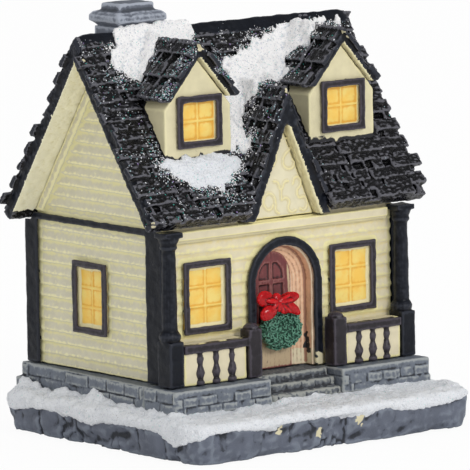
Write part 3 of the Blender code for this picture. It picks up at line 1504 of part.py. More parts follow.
def switch_slider():
    """The switch's slider, at its off end: a ribbed knob below and a foot that the way holds."""
    off = -SWITCH_TRAVEL / 2
    bottom = UNIT_RECESS
    foot_bottom = bottom + FLANGE_THICKNESS + GAP
    low = (SWITCH_X - SLIDER_WIDTH / 2, off - SLIDER_LENGTH / 2, foot_bottom)
    high = (SWITCH_X + SLIDER_WIDTH / 2, off + SLIDER_LENGTH / 2, foot_bottom + SLIDER_THICKNESS)
    foot = box("switch_slider", low, high, "black_plastic")
    knob = box(
        "switch_knob",
        (SWITCH_X - KNOB_WIDTH / 2, off - KNOB_LENGTH / 2, bottom + 0.1 * MM),
        (SWITCH_X + KNOB_WIDTH / 2, off + KNOB_LENGTH / 2, foot_bottom + SLIDER_THICKNESS / 2),
    )
    fuse(foot, knob)
    half = KNOB_GROOVE / 2
    for side in (-1, 1):
        y = off + side * KNOB_LENGTH / 5
        low = (SWITCH_X - KNOB_WIDTH, y - half, 0)
        high = (SWITCH_X + KNOB_WIDTH, y + half, bottom + KNOB_GROOVE * 2)
        cut(foot, box(f"knob_groove_{side}", low, high))


def stand_on_origin():
    """Move the whole house back, cutters too, so that the origin lies under the middle of its rock."""
    for piece in (*HOUSE.objects, *CUTTERS.objects):
        piece.location.y += ROCK_FORWARD


def build():
    rock_base()
    base_snow()
    foundation()
    porch_blocks()
    door_steps()
    side_walls()
    front_wall()
    back_wall()
    wall_trims()
    front_frieze()
    windows()
    door_arch()
    front_door()
    door_wreath()
    wreath_bow()
    porch()
    main_roof()
    ridge_cap()
    cross_gable()
    dormers()
    chimney()
    roof_snow()
    light_housing()
    battery_cover()
    cover_screw()
    coin_cell()
    contact_leaf()
    led_lamp()
    switch_slider()
    stand_on_origin()


build()
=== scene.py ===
# %% [markdown]
# # A small cast village house, painted by hand
# The real object is one resin casting, about a hand high: a shingled house with a cross gable and two
# dormers on a snowy rock. It could be modelled with crisp planes and given a paint texture, but its charm is
# that nothing on it is crisp. So each CAD solid is taken here as the master that the mould was made
# from. It is recast in a fine even skin, softened, made lumpy, and then painted by materials that know where the
# skin is hollow and where it stands proud.

# %% Load the model
import math

import bmesh
import bpy
import numpy as np
from mathutils import Matrix, Vector, noise
from mathutils.bvhtree import BVHTree


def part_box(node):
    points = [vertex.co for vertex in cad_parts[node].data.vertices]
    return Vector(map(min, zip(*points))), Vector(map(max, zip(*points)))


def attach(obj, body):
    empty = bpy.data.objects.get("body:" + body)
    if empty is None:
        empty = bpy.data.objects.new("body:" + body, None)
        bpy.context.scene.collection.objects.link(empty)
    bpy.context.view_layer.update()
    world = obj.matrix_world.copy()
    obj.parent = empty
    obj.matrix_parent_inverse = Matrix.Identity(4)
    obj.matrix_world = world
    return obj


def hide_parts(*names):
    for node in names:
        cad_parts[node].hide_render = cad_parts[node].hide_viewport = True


MM = 0.001
HOUSE = "house"
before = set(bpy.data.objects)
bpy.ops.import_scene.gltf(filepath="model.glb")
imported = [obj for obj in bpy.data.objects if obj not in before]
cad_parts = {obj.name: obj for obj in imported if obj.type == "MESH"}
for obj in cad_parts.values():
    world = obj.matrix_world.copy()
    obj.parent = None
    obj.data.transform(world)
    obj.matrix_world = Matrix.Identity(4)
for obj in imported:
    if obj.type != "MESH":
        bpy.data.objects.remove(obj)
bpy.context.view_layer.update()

# %% [markdown]
# ## Where the camera stands
# The picture was taken from the front left, a little above the eaves, by a long lens from one and a half
# metres away. A short lens close by would show the same sides, but its lines would run together too fast. The
# camera is set by its distance and two angles round a point in the middle of the house, and a roll.

# %% Camera
AIM = Vector((1.23, 0.2, 43.57)) * MM
AZIMUTH, ELEVATION, ROLL = (math.radians(a) for a in (-38.36, 7.96, -0.92))
DISTANCE = 1500.6 * MM


def put(name, data):
    """A new object in the scene."""
    thing = bpy.data.objects.new(name, data)
    bpy.context.scene.collection.objects.link(thing)
    return thing


def placed_axes(origin, *axes):
    """The matrix of three axes that meet at a place, in metres."""
    return Matrix.Translation(origin) @ Matrix(axes).transposed().to_4x4()


def camera_axes():
    level = math.cos(ELEVATION)
    back = Vector((math.sin(AZIMUTH) * level, -math.cos(AZIMUTH) * level, math.sin(ELEVATION)))
    right = Vector((math.cos(AZIMUTH), math.sin(AZIMUTH), 0))
    up = back.cross(right)
    turn, lean = math.cos(ROLL), math.sin(ROLL)
    return right * turn + up * lean, up * turn - right * lean, back


right, up, back = camera_axes()
lens = bpy.data.cameras.new("camera")
lens.lens, lens.sensor_width = 511.8, 36
lens.clip_start, lens.clip_end = 0.1, 20
camera = put("camera", lens)
camera.matrix_world = placed_axes(AIM + back * DISTANCE, right, up, back)
bpy.context.scene.camera = camera
print("camera at", [round(v, 3) for v in camera.location])

# %% [markdown]
# ## A helper for node trees
# Materials and Geometry Nodes are both trees of nodes. Each could be wired by hand in the editor, but a
# script keeps them readable: one call makes a node, sets it up and plugs in its inputs, in order or by name.

# %% Node helper


def plug(tree, socket, value):
    if isinstance(value, bpy.types.Node):
        value = next(s for s in value.outputs if s.enabled)
    if isinstance(value, bpy.types.NodeSocket):
        tree.links.new(value, socket)
    elif value is not None:
        socket.default_value = value


def add(tree, kind, *values, **named):
    """Makes a node. A name that the node has is a setting, and any other is an input."""
    node = tree.nodes.new(kind)
    inputs = {}
    for name, value in named.items():
        if hasattr(node, name):
            setattr(node, name, value)
        else:
            inputs[name.replace("_", " ")] = value
    for socket, value in zip([s for s in node.inputs if s.enabled], values):
        plug(tree, socket, value)
    for name, value in inputs.items():
        plug(tree, next(s for s in node.inputs if s.name == name and s.enabled), value)
    return node


def maths(tree, operation, *values):
    return add(tree, "ShaderNodeMath", *values, operation=operation).outputs[0]


def vectors(tree, operation, *values):
    return add(tree, "ShaderNodeVectorMath", *values, operation=operation).outputs[0]


def scaled(tree, vector, factor):
    """A vector or colour times a number."""
    node = add(tree, "ShaderNodeVectorMath", vector, operation="SCALE")
    plug(tree, node.inputs["Scale"], factor)
    return node.outputs[0]

# %% [markdown]
# A tree could be wired anew for each piece. As a group with named inputs it is wired once and then used many
# times with other values. What a Geometry Nodes group makes is frozen into a plain mesh, which an export keeps.

# %% Groups and their meshes


def new_tree(name, kind, inputs, outputs):
    """A group whose sockets are named, with their kinds and first values."""
    tree = bpy.data.node_groups.new(name, kind)
    for label, (socket, value) in inputs.items():
        item = tree.interface.new_socket(label, in_out="INPUT", socket_type="NodeSocket" + socket)
        if value is not None:
            item.default_value = value
    for label, socket in outputs.items():
        tree.interface.new_socket(label, in_out="OUTPUT", socket_type="NodeSocket" + socket)
    return tree, tree.nodes.new("NodeGroupInput").outputs, tree.nodes.new("NodeGroupOutput")


def close_tree(tree, taken, geometry, paint):
    """Ends a Geometry Nodes tree: real geometry, in its paint."""
    whole = add(tree, "GeometryNodeRealizeInstances", geometry)
    plug(tree, taken.inputs[0], add(tree, "GeometryNodeSetMaterial", whole, Material=paint))
    print("tree:", tree.name, "with", len(tree.nodes), "nodes")


def run_on(carrier, tree, values):
    """Adds a tree to an object, with values by the names of its inputs."""
    modifier = carrier.modifiers.new(tree.name, "NODES")
    modifier.node_group = tree
    for item in tree.interface.items_tree:
        if item.in_out == "INPUT" and item.name in values:
            modifier[item.identifier] = values[item.name]


def finished(carrier):
    """The mesh of an object with its modifiers applied. The object goes."""
    graph = bpy.context.evaluated_depsgraph_get()
    made = bpy.data.meshes.new_from_object(carrier.evaluated_get(graph))
    bpy.data.objects.remove(carrier)
    return made


def grown(name, tree, mesh=None, **values):
    """The plain mesh that a Geometry Nodes tree makes, from a mesh or from nothing."""
    carrier = put(name, mesh or bpy.data.meshes.new(name))
    run_on(carrier, tree, values)
    return finished(carrier)

# %% [markdown]
# ## How hand paint lies on a casting
# A brush loads the flat faces, a thin dark wash runs into the hollows, and a nearly dry brush catches the raised
# edges. The dark in the hollows is that wash and also painted shade, and the pale on the edges is dry brush and
# also painted highlight. Where the brush slips, the next colour strays over. This could be painted as a picture,
# but the group below works it out from three numbers that a piece can carry: "relief", above nought in a hollow
# and below it on an edge; a stray number, how many millimetres inside a slip of the brush a point lies, which
# also holds a painted shadow; and "halo", the same for a border where another colour shows.

# %% Hand-painted shader group
PAINT_INPUTS = {
    "Paint": ("Color", (0.8, 0.8, 0.8, 1)),
    "Wash and shade": ("Color", (0.1, 0.1, 0.1, 1)),
    "Dry brush": ("Color", (1, 1, 1, 1)),
    "Stray and shade": ("Color", (0, 0, 0, 1)),
    "Halo": ("Color", (0.8, 0.74, 0.4, 1)),
    "Wash and shade strength": ("Float", 1.0),
    "Dry brush strength": ("Float", 1.0),
    "Mottle": ("Float", 0.15),
    "Mottle size": ("Float", 2.5 * MM),
    "Grain size": ("Float", 0.35 * MM),
    "Raggedness": ("Float", 0.4),
}
hand, given, taken = new_tree("Hand-painted", "ShaderNodeTree", PAINT_INPUTS, {"Color": "Color", "Height": "Float"})
# The wash and the dry brush also carry painted shade and painted highlight.
FAINT, FULL = 0.03, 0.3  # the relief where a wash or a dry brush begins, and where it covers


def stored(tree, name):
    """A number that a piece's skin carries."""
    return add(tree, "ShaderNodeAttribute", attribute_name=name).outputs["Fac"]


def speckle(tree, size, detail=2.0):
    """Noise whose blotches are about a size across."""
    place = add(tree, "ShaderNodeTexCoord").outputs["Object"]
    scale = maths(tree, "DIVIDE", 1.0, size)
    return add(tree, "ShaderNodeTexNoise", Vector=place, Scale=scale, Detail=detail).outputs[0]


def mix(tree, share, first, second):
    node = add(tree, "ShaderNodeMix", data_type="RGBA")
    for socket, value in zip([s for s in node.inputs if s.enabled], (share, first, second)):
        plug(tree, socket, value)
    return next(s for s in node.outputs if s.enabled)


def between(tree, value, low, high):
    """0 up to low, 1 from high, and smooth in between."""
    node = add(tree, "ShaderNodeMapRange", value, low, high, 0.0, 1.0)
    node.interpolation_type = "SMOOTHSTEP"
    return node.outputs[0]


blotch = speckle(hand, given["Mottle size"], 4.0)
grain = speckle(hand, given["Grain size"], 3.0)
crumbly = maths(hand, "MULTIPLY", maths(hand, "SUBTRACT", grain, 0.5), 0.16)
relief = maths(hand, "ADD", stored(hand, "relief"), crumbly)
mottle = maths(hand, "MULTIPLY", given["Mottle"], 2.0)
shade = maths(hand, "MULTIPLY_ADD", maths(hand, "SUBTRACT", blotch, 0.5), mottle, 1.0)
# Darker in hollows and paler on edges: wash and dry brush, and with them painted shade and painted highlight.
washed_and_shaded = maths(hand, "MULTIPLY", between(hand, relief, FAINT, FULL), given["Wash and shade strength"])
brushed_and_highlit = maths(hand, "MULTIPLY", between(hand, relief, -FAINT, -FULL), given["Dry brush strength"])
halo = maths(hand, "SUBTRACT", stored(hand, "halo"), maths(hand, "MULTIPLY", blotch, 0.9))
ragged = maths(hand, "MULTIPLY", speckle(hand, 1.6 * MM, 2.0), given["Raggedness"])
slip_and_shade = maths(hand, "SUBTRACT", stored(hand, "stray_and_shade"), ragged)
colour = mix(hand, between(hand, halo, 0.0, 0.25), scaled(hand, given["Paint"], shade), given["Halo"])
colour = mix(hand, washed_and_shaded, colour, given["Wash and shade"])
colour = mix(hand, brushed_and_highlit, colour, given["Dry brush"])
colour = mix(hand, between(hand, slip_and_shade, 0.0, 0.12), colour, given["Stray and shade"])
plug(hand, taken.inputs["Color"], colour)
plug(hand, taken.inputs["Height"], maths(hand, "ADD", maths(hand, "MULTIPLY", blotch, 0.4), grain))
print("group:", hand.name, "with", len(hand.nodes), "nodes")

# %% [markdown]
# ## The pots of paint
# The casting has sixteen paints: creams, blacks, the greys of brick, slate and rock, the tan and the dark red of
# the door, green and ribbon red. They could be wired one by one, but they differ only in their colours, their
# gloss and how coarse their grain is, so one function mixes them all from the group.

# %% Mix a paint


def rgba(colour):
    return (*colour, 1.0)


def bumps(tree, height, tall):
    """A normal roughened by a height, in millimetres."""
    return add(tree, "ShaderNodeBump", Height=height, Distance=tall * MM)


def painted(
    name, paint, wash_and_shade, dry_brush_and_highlight, stray_and_shade=(0.012, 0.012, 0.016), halo=(0.8, 0.74, 0.4), gloss=0.5, bump=0.05, shine=0.5,
    **strengths,
):
    """A painted finish, with painted shade in its hollows and painted highlight on its edges. Bump is the height of its
    grain in millimetres.
    """
    material = bpy.data.materials.new(name)
    material.use_nodes = True
    tree = material.node_tree
    tree.nodes.clear()
    group = add(tree, "ShaderNodeGroup", node_tree=hand)
    colours = {"Paint": paint, "Wash and shade": wash_and_shade, "Dry brush": dry_brush_and_highlight, "Stray and shade": stray_and_shade, "Halo": halo}
    for label, colour in colours.items():
        group.inputs[label].default_value = rgba(colour)
    for label, value in strengths.items():
        group.inputs[label.replace("_", " ").capitalize()].default_value = value
    height = group.outputs["Height"]
    surface = add(
        tree, "ShaderNodeBsdfPrincipled", Base_Color=group.outputs["Color"],
        Roughness=maths(tree, "MULTIPLY_ADD", height, 0.16, gloss - 0.11), Normal=bumps(tree, height, bump),
    )
    surface.inputs["Specular IOR Level"].default_value = shine
    add(tree, "ShaderNodeOutputMaterial", surface)
    return material

# %% [markdown]
# Each paint has its own colour first, then the wash and painted shade in its hollows and the dry brush and
# painted highlight on its edges. Their differences are small, because one hand mixed them all, but a single
# cream or black looks like plastic. Some differences are painted light and shade: the dormers' cream is darker,
# and the reveal's tan and the black of frames and rails are paler, for how the light falls on them.

# %% Paints
CREAM = (0.66, 0.60, 0.40)
BUTTER = (0.80, 0.73, 0.38)
BLACK = (0.0045, 0.0062, 0.0112)
PAINTS = {
    "cream_side": painted(
        "cream_side", (0.62, 0.585, 0.44), (0.74, 0.69, 0.37), (0.84, 0.79, 0.47), halo=(0.82, 0.77, 0.45), gloss=0.62
    ),
    "cream_front": painted("cream_front", (0.70, 0.63, 0.44), (0.72, 0.62, 0.33), BUTTER, halo=BUTTER, gloss=0.58),
    # The dormers' cream is darker than the front's: painted shade, since they stand nearer the lamp with nothing to
    # shade them.
    "cream_dormer": painted("cream_dormer", (0.67, 0.61, 0.39), (0.55, 0.49, 0.28), (0.74, 0.68, 0.42), gloss=0.55),
    "pediment": painted("pediment", (0.70, 0.65, 0.47), (0.65, 0.57, 0.33), (0.78, 0.70, 0.38), gloss=0.58),
    "soffit": painted("soffit", (0.97, 0.93, 0.72), (0.9, 0.85, 0.6), (0.95, 0.91, 0.68), gloss=0.6),
    "black_trim": painted(
        "black_trim", BLACK, (0.004, 0.004, 0.006), (0.024, 0.027, 0.037), CREAM, gloss=0.36, shine=0.21, mottle=0.5
    ),
    # A paler black for the frames and rails: painted light, where the lit panes light them.
    "worn_black": painted(
        "worn_black", (0.019, 0.0155, 0.0195), (0.008, 0.006, 0.008), (0.06, 0.052, 0.066), CREAM, gloss=0.38,
        shine=0.3, mottle=0.5,
    ),
    # The shingles' pale edges are painted highlight as well as dry brush, and their black hollows painted shade.
    "shingle": painted(
        "shingle", (0.0045, 0.0045, 0.006), (0.001, 0.001, 0.0015), (0.13, 0.13, 0.15), CREAM, gloss=0.27,
        bump=0.2, shine=0.29, mottle=0.7, mottle_size=1.2 * MM, dry_brush_strength=0.8,
    ),
    "brick": painted(
        "brick", (0.14, 0.16, 0.195), (0.03, 0.033, 0.04), (0.31, 0.33, 0.335), (0.5, 0.5, 0.4), gloss=0.62,
        mottle=0.35, bump=0.1, shine=0.35,
    ),
    "steps": painted(
        "steps", (0.12, 0.132, 0.15), (0.035, 0.038, 0.045), (0.30, 0.31, 0.29), (0.5, 0.5, 0.4), gloss=0.62,
        mottle=0.35, bump=0.1, shine=0.35,
    ),
    "slate": painted(
        "slate", (0.125, 0.14, 0.175), (0.06, 0.068, 0.085), (0.34, 0.37, 0.43), CREAM, gloss=0.6, shine=0.35,
        mottle=0.35,
    ),
    "rock": painted(
        "rock", (0.115, 0.13, 0.17), (0.026, 0.03, 0.04), (0.22, 0.25, 0.3), CREAM, gloss=0.55, shine=0.35, mottle=0.4,
        bump=0.1, mottle_size=4 * MM, dry_brush_strength=0.6,
    ),
    # The reveal's tan is made paler: painted light, since the reveal stands in shade inside the doorway.
    "reveal": painted(
        "reveal", (0.79, 0.49, 0.305), (0.38, 0.19, 0.12), (0.86, 0.68, 0.48), halo=(0.76, 0.68, 0.46), gloss=0.5,
        mottle=0.25,
    ),
    "door": painted(
        "door", (0.165, 0.033, 0.035), (0.045, 0.009, 0.011), (0.27, 0.10, 0.09), halo=(0.55, 0.42, 0.26), gloss=0.42,
        mottle=0.35,
    ),
    "wreath": painted(
        "wreath", (0.037, 0.118, 0.076), (0.013, 0.048, 0.032), (0.11, 0.27, 0.19), gloss=0.42, mottle=0.5, shine=0.3
    ),
    # The ribbon's dark hollows and pale edges are painted shade and painted highlight on its folds.
    "ribbon": painted(
        "ribbon", (0.35, 0.0015, 0.004), (0.09, 0.001, 0.002), (0.56, 0.006, 0.01), gloss=0.2, bump=0.02, mottle=0.3,
        shine=0.33,
    ),
}
print("paints:", ", ".join(PAINTS))

# %% [markdown]
# ## Snow and lit windows
# Craft snow is a thick white paste full of fine grit, which lets a little light in. The window panes are
# yellow resin with light behind them. Both need more than paint: snow gets grit and a bump, and the panes
# give off a little of their own.

# %% Snow


def principled(name):
    material = bpy.data.materials.new(name)
    material.use_nodes = True
    tree = material.node_tree
    return material, tree, next(n for n in tree.nodes if n.type == "BSDF_PRINCIPLED")


def snow_paste(name, shade, light):
    """Gritty white paste between two tones, with painted shade in its hollows."""
    material, tree, surface = principled(name)
    grit = speckle(tree, 0.32 * MM, 4.0)
    tone = mix(tree, speckle(tree, 5 * MM, 3.0), rgba(shade), rgba(light))
    # Grey-blue in the hollows: painted shade.
    tone = mix(tree, between(tree, stored(tree, "relief"), 0.1, 0.55), tone, rgba((0.66, 0.70, 0.75)))
    tone = mix(tree, between(tree, grit, 0.43, 0.32), tone, rgba((0.58, 0.62, 0.67)))
    plug(tree, surface.inputs["Base Color"], tone)
    plug(tree, surface.inputs["Roughness"], maths(tree, "MULTIPLY_ADD", grit, 0.3, 0.45))
    plug(tree, surface.inputs["Normal"], bumps(tree, grit, 0.4))
    return material


snow = snow_paste("snow", (0.96, 0.955, 0.96), (1.0, 0.98, 0.97))
# A darker, bluer copy of the snow for the eave and the base: painted shade.
icy_snow = snow_paste("icy_snow", (0.74, 0.765, 0.81), (0.84, 0.855, 0.88))
print("snow mixed:", snow.name, icy_snow.name)

# %% [markdown]
# A pane is cloudy yellow, deeper in the hollows by its bars. Its border is cream, as far as its "rim" says.

# %% Lit pane
pane, tree, surface = principled("lit_pane")
cloudy = speckle(tree, 3.5 * MM, 3.0)
tone = mix(tree, between(tree, cloudy, 0.3, 0.7), rgba((0.80, 0.495, 0.08)), rgba((0.78, 0.595, 0.165)))
tone = mix(tree, between(tree, stored(tree, "relief"), 0.0, 0.22), tone, rgba((0.70, 0.36, 0.04)))
tone = mix(tree, between(tree, stored(tree, "rim"), 0.35, 0.6), tone, rgba((0.74, 0.66, 0.38)))
slip_and_shade = maths(tree, "SUBTRACT", stored(tree, "stray_and_shade"), speckle(tree, 1.2 * MM))
tone = mix(tree, between(tree, slip_and_shade, 0.0, 0.1), tone, rgba(BLACK))
plug(tree, surface.inputs["Base Color"], tone)
# The pane's glow is painted light: it stands in for the lamp behind it.
plug(tree, surface.inputs["Emission Color"], tone)
plug(tree, surface.inputs["Normal"], bumps(tree, cloudy, 0.2))
surface.inputs["Emission Strength"].default_value = 0.1
surface.inputs["Roughness"].default_value = 0.4
PAINTS.update(snow=snow, icy_snow=icy_snow, pane=pane)
print("paints in all:", len(PAINTS))

# %% [markdown]
# ## Casting a solid
# A casting has no sharp corner: resin rounds it, and the mould-maker's hand leaves every flat a little
# lumpy. Bevels would round the corners but leave the flats dead flat. Here a voxel remesh gives a solid an even
# skin of small quads, a little smoothing rounds it, and a Geometry Nodes tree moves the skin in and out: in broad
# lumps, in grain that can be stretched along the shingles, and in cracks for the rock.

# %% Uneven casting tree
CAST_INPUTS = {
    "Geometry": ("Geometry", None),
    "Lump size": ("Float", 4 * MM),
    "Lump depth": ("Float", 0.15 * MM),
    "Grain scale": ("Vector", (1, 1, 1)),
    "Grain size": ("Float", 0.6 * MM),
    "Grain depth": ("Float", 0.0),
    "Crack size": ("Float", 5 * MM),
    "Crack depth": ("Float", 0.0),
    "Seed": ("Float", 0.0),
    "Paint": ("Material", None),
}
casting, given, taken = new_tree("Uneven casting", "GeometryNodeTree", CAST_INPUTS, {"Geometry": "Geometry"})


def swing(place, size, detail=2.0):
    """Noise from about -1 to 1 at a place."""
    scale = maths(casting, "DIVIDE", 1.0, size)
    node = add(
        casting, "ShaderNodeTexNoise", Vector=place, W=given["Seed"], Scale=scale, Detail=detail,
        noise_dimensions="4D",
    )
    return maths(casting, "MULTIPLY", maths(casting, "SUBTRACT", node.outputs[0], 0.5), 2.6)


place = add(casting, "GeometryNodeInputPosition").outputs[0]
lumps = maths(casting, "MULTIPLY", swing(place, given["Lump size"]), given["Lump depth"])
stretched = vectors(casting, "MULTIPLY", place, given["Grain scale"])
grains = maths(casting, "MULTIPLY", swing(stretched, given["Grain size"]), given["Grain depth"])
print("lumps and grain wired:", len(casting.nodes), "nodes")

# %% [markdown]
# Cracked rock is made of blocks. A Voronoi texture gives cells: the skin sinks where two cells meet, and each
# cell leans its own way, so that its face catches the light by itself. The places are squeezed upwards, which
# makes the cells tall, and warped, or the blocks would have straight edges.

# %% Cracks
TALL_CELLS, WARP, LEAN, CALM_PATCH = (1.0, 1.0, 0.4), 3 * MM, 420.0, 16 * MM
curl = add(casting, "ShaderNodeTexNoise", Vector=place, Scale=300.0).outputs[1]
warped = vectors(casting, "ADD", vectors(casting, "MULTIPLY", place, TALL_CELLS), scaled(casting, curl, WARP))
per_cell = maths(casting, "DIVIDE", 1.0, given["Crack size"])
edge = add(casting, "ShaderNodeTexVoronoi", Vector=warped, Scale=per_cell, feature="DISTANCE_TO_EDGE").outputs[0]
cells = add(casting, "ShaderNodeTexVoronoi", Vector=warped, Scale=per_cell, feature="F1").outputs
crack = add(casting, "ShaderNodeMapRange", edge, 0.0, 0.09, -1.0, 0.0).outputs[0]
from_middle = vectors(casting, "SUBTRACT", warped, cells["Position"])
lean = vectors(casting, "SUBTRACT", cells["Color"], (0.5, 0.5, 0.5))
tilt = add(casting, "ShaderNodeVectorMath", from_middle, lean, operation="DOT_PRODUCT").outputs["Value"]
blocks = maths(casting, "ADD", crack, maths(casting, "MULTIPLY", tilt, LEAN))
broken = add(casting, "ShaderNodeMapRange", swing(place, CALM_PATCH, 1.0), -0.2, 0.5, 0.1, 1.0).outputs[0]
cracks = maths(casting, "MULTIPLY", maths(casting, "MULTIPLY", blocks, given["Crack depth"]), broken)
offset = maths(casting, "ADD", maths(casting, "ADD", lumps, grains), cracks)
outwards = scaled(casting, add(casting, "GeometryNodeInputNormal").outputs[0], offset)
moved = add(casting, "GeometryNodeSetPosition", Geometry=given["Geometry"], Offset=outwards)
close_tree(casting, taken, moved, given["Paint"])

# %% [markdown]
# Each piece then carries its own "relief". It could come from a pointiness node, but that isn't kept when a model is
# exported, so it is measured once here and stored on the skin: for each point, how far its neighbours stand
# above it, smoothed a little.

# %% Relief


def numbers(items, key, width=1):
    """A value of every vertex or face, as an array."""
    values = np.empty(len(items) * width, np.float32)
    items.foreach_get(key, values)
    return values.reshape(-1, width) if width > 1 else values


def points_of(mesh):
    """Where the points of a mesh lie, and which way they face."""
    return numbers(mesh.vertices, "co", 3), numbers(mesh.vertex_normals, "vector", 3)


def faces_of(mesh):
    """Where the faces of a mesh lie, and which way they face."""
    return numbers(mesh.polygons, "center", 3), numbers(mesh.polygon_normals, "vector", 3)


def keep(mesh, name, values):
    attribute = mesh.attributes.get(name) or mesh.attributes.new(name, "FLOAT", "POINT")
    attribute.data.foreach_set("value", np.asarray(values, np.float32))


def measure_relief(mesh):
    """Stores how hollow the skin is at each point, about 0 where it is flat."""
    place, normal = points_of(mesh)
    ends = np.empty(len(mesh.edges) * 2, np.int32)
    mesh.edges.foreach_get("vertices", ends)
    a, b = ends.reshape(-1, 2).T
    count = len(place)
    step = place[b] - place[a]
    length = np.linalg.norm(step, axis=1) + 1e-9
    share = np.maximum(np.bincount(a, minlength=count) + np.bincount(b, minlength=count), 1)

    def gather(at_a, at_b):
        return (np.bincount(a, at_a, count) + np.bincount(b, at_b, count)) / share

    rise = gather((step * normal[a]).sum(1) / length, -(step * normal[b]).sum(1) / length)
    total = np.zeros(count)
    for weight in (1.0, 1.6, 1.6):
        rise = 0.5 * rise + 0.5 * gather(rise[b], rise[a])
        total += rise * weight
    keep(mesh, "relief", total)

# %% [markdown]
# An even skin has as many faces on a flat as on a corner, and the house would be three million of them. Once
# the relief is stored, Decimate takes the faces that the shape can spare. It keeps what the points carry.

# %% Cast a solid
COARSER = 1.0


def mesh_of(bm, name):
    """The mesh of what was built."""
    mesh = bpy.data.meshes.new(name)
    bm.to_mesh(mesh)
    bm.free()
    return mesh


def solid_of(sources):
    """One closed mesh of CAD solids, named, and of other meshes."""
    bm = bmesh.new()
    for source in sources:
        bm.from_mesh(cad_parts[source].data if isinstance(source, str) else source)
    bmesh.ops.remove_doubles(bm, verts=bm.verts, dist=0.002 * MM)
    return mesh_of(bm, "solid")


def thinned(mesh, share):
    """The mesh with a share of its faces, fewest where it is flat."""
    carrier = put("thinned", mesh)
    carrier.modifiers.new("thin", "DECIMATE").ratio = share
    return finished(carrier)


def skin(sources, voxel, paint, soften=2, seed=0.0, share=0.55, **lumps):
    """The cast form of some solids, with a share of its faces. Voxel and lumps are in millimetres."""
    carrier = put("cast", solid_of(sources))
    remesh = carrier.modifiers.new("even skin", "REMESH")
    remesh.mode, remesh.voxel_size = "VOXEL", voxel * MM * COARSER
    if soften:
        smooth = carrier.modifiers.new("soften", "SMOOTH")
        smooth.factor, smooth.iterations = 0.5, soften
    values = {"Paint": PAINTS[paint], "Seed": seed}
    for label, value in lumps.items():
        label = label.replace("_", " ")
        values[label] = value if label == "Grain scale" else value * MM
    run_on(carrier, casting, values)
    mesh = finished(carrier)
    measure_relief(mesh)
    return thinned(mesh, share)

# %% [markdown]
# A finished mesh becomes a piece, which rides the house and stands for its CAD solids. Some faces of a piece
# can have another paint than the rest.

# %% Place a piece
pieces = {}


def place_piece(name, mesh, slot, *replaced):
    mesh.shade_smooth()
    piece = put(name, mesh)
    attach(piece, HOUSE)
    if replaced:
        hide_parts(*replaced)
    pieces[name] = piece


def repaint(mesh, *picks):
    """Gives picked faces other paints. A later pick covers an earlier one."""
    kind = np.zeros(len(mesh.polygons), np.int32)
    for number, (faces, paint) in enumerate(picks, 1):
        mesh.materials.append(PAINTS[paint])
        kind[faces] = number
    mesh.polygons.foreach_set("material_index", kind)

# %% [markdown]
# ## Shingles
# The roofs are courses of rough wooden shakes, each a little wider, longer or thicker than the next, with
# joints that miss those of the course below. Each could be placed by hand, but there are hundreds. A
# Geometry Nodes tree counts along the courses, gives each joint its own random shift, and stands one small
# wedge between every two joints. It keeps a wedge only where a ray from above meets the roof, so the same tree
# stops at the valleys and dormers. Bricks are the same thing without the wedge, so they use it too.

# %% Courses tree
COURSE_INPUTS = {
    "Low": ("Float", -39 * MM),
    "High": ("Float", 39 * MM),
    "Start": ("Float", 0.0),
    "Columns": ("Int", 34),
    "Courses": ("Int", 15),
    "Pitch": ("Float", 3.16 * MM),
    "Width": ("Float", 2.45 * MM),
    "Overlap": ("Float", 1.3),
    "Joint": ("Float", 0.1 * MM),
    "Thickness": ("Float", 0.9 * MM),
    "Thin end": ("Float", 0.3),
    "Rough": ("Float", 0.2),
    "Jitter": ("Float", 0.4),
    "Drop": ("Float", 0.3 * MM),
    "Seed": ("Int", 1),
    "Region": ("Object", None),
    "Everywhere": ("Bool", False),
    "Paint": ("Material", None),
}
courses, given, taken = new_tree("Courses", "GeometryNodeTree", COURSE_INPUTS, {"Geometry": "Geometry"})
index = add(courses, "GeometryNodeInputIndex").outputs[0]
columns = given["Columns"]
row = maths(courses, "FLOOR", maths(courses, "DIVIDE", index, columns))
column = maths(courses, "SUBTRACT", index, maths(courses, "MULTIPLY", row, columns))


def chance(tree, low, high, key, seed):
    """A number between two, which stays the same for a key."""
    return add(tree, "FunctionNodeRandomValue", low, high, ID=key, Seed=seed, data_type="FLOAT").outputs["Value"]


def joint(steps):
    """Where the joint lies that is so many steps along a course."""
    number = maths(courses, "ADD", column, float(steps))
    key = maths(courses, "ADD", number, maths(courses, "MULTIPLY", row, 997.0))
    stagger = maths(courses, "MULTIPLY", maths(courses, "MODULO", row, 2.0), 0.5)
    swerve = maths(courses, "SUBTRACT", chance(courses, 0.0, 1.0, key, given["Seed"]), 0.5)
    shifted = maths(courses, "ADD", number, maths(courses, "MULTIPLY", swerve, given["Jitter"]))
    steps_along = maths(courses, "SUBTRACT", maths(courses, "ADD", shifted, stagger), 0.5)
    place = maths(courses, "ADD", maths(courses, "MULTIPLY", steps_along, given["Width"]), given["Low"])
    return maths(courses, "MINIMUM", maths(courses, "MAXIMUM", place, given["Low"]), given["High"])


first, second = joint(0), joint(1)
wide = maths(courses, "SUBTRACT", second, first)
middle = maths(courses, "MULTIPLY", maths(courses, "ADD", first, second), 0.5)
key = maths(courses, "ADD", index, 5000.0)
course_end = maths(courses, "MULTIPLY", maths(courses, "ADD", row, 1.0), given["Pitch"])
slipped = maths(courses, "MULTIPLY", chance(courses, -0.7, 0.3, key, given["Seed"]), given["Drop"])
butt = maths(courses, "ADD", maths(courses, "ADD", course_end, given["Start"]), slipped)
print("joints wired:", len(courses.nodes), "nodes")

# %% [markdown]
# A point is put at each wedge's thick end. It goes again if the ray from above it misses the roof, or if two
# joints have come so close that nothing fits between them.

# %% Points for the wedges


def either(first, second):
    return add(courses, "FunctionNodeBooleanMath", first, second, operation="OR")


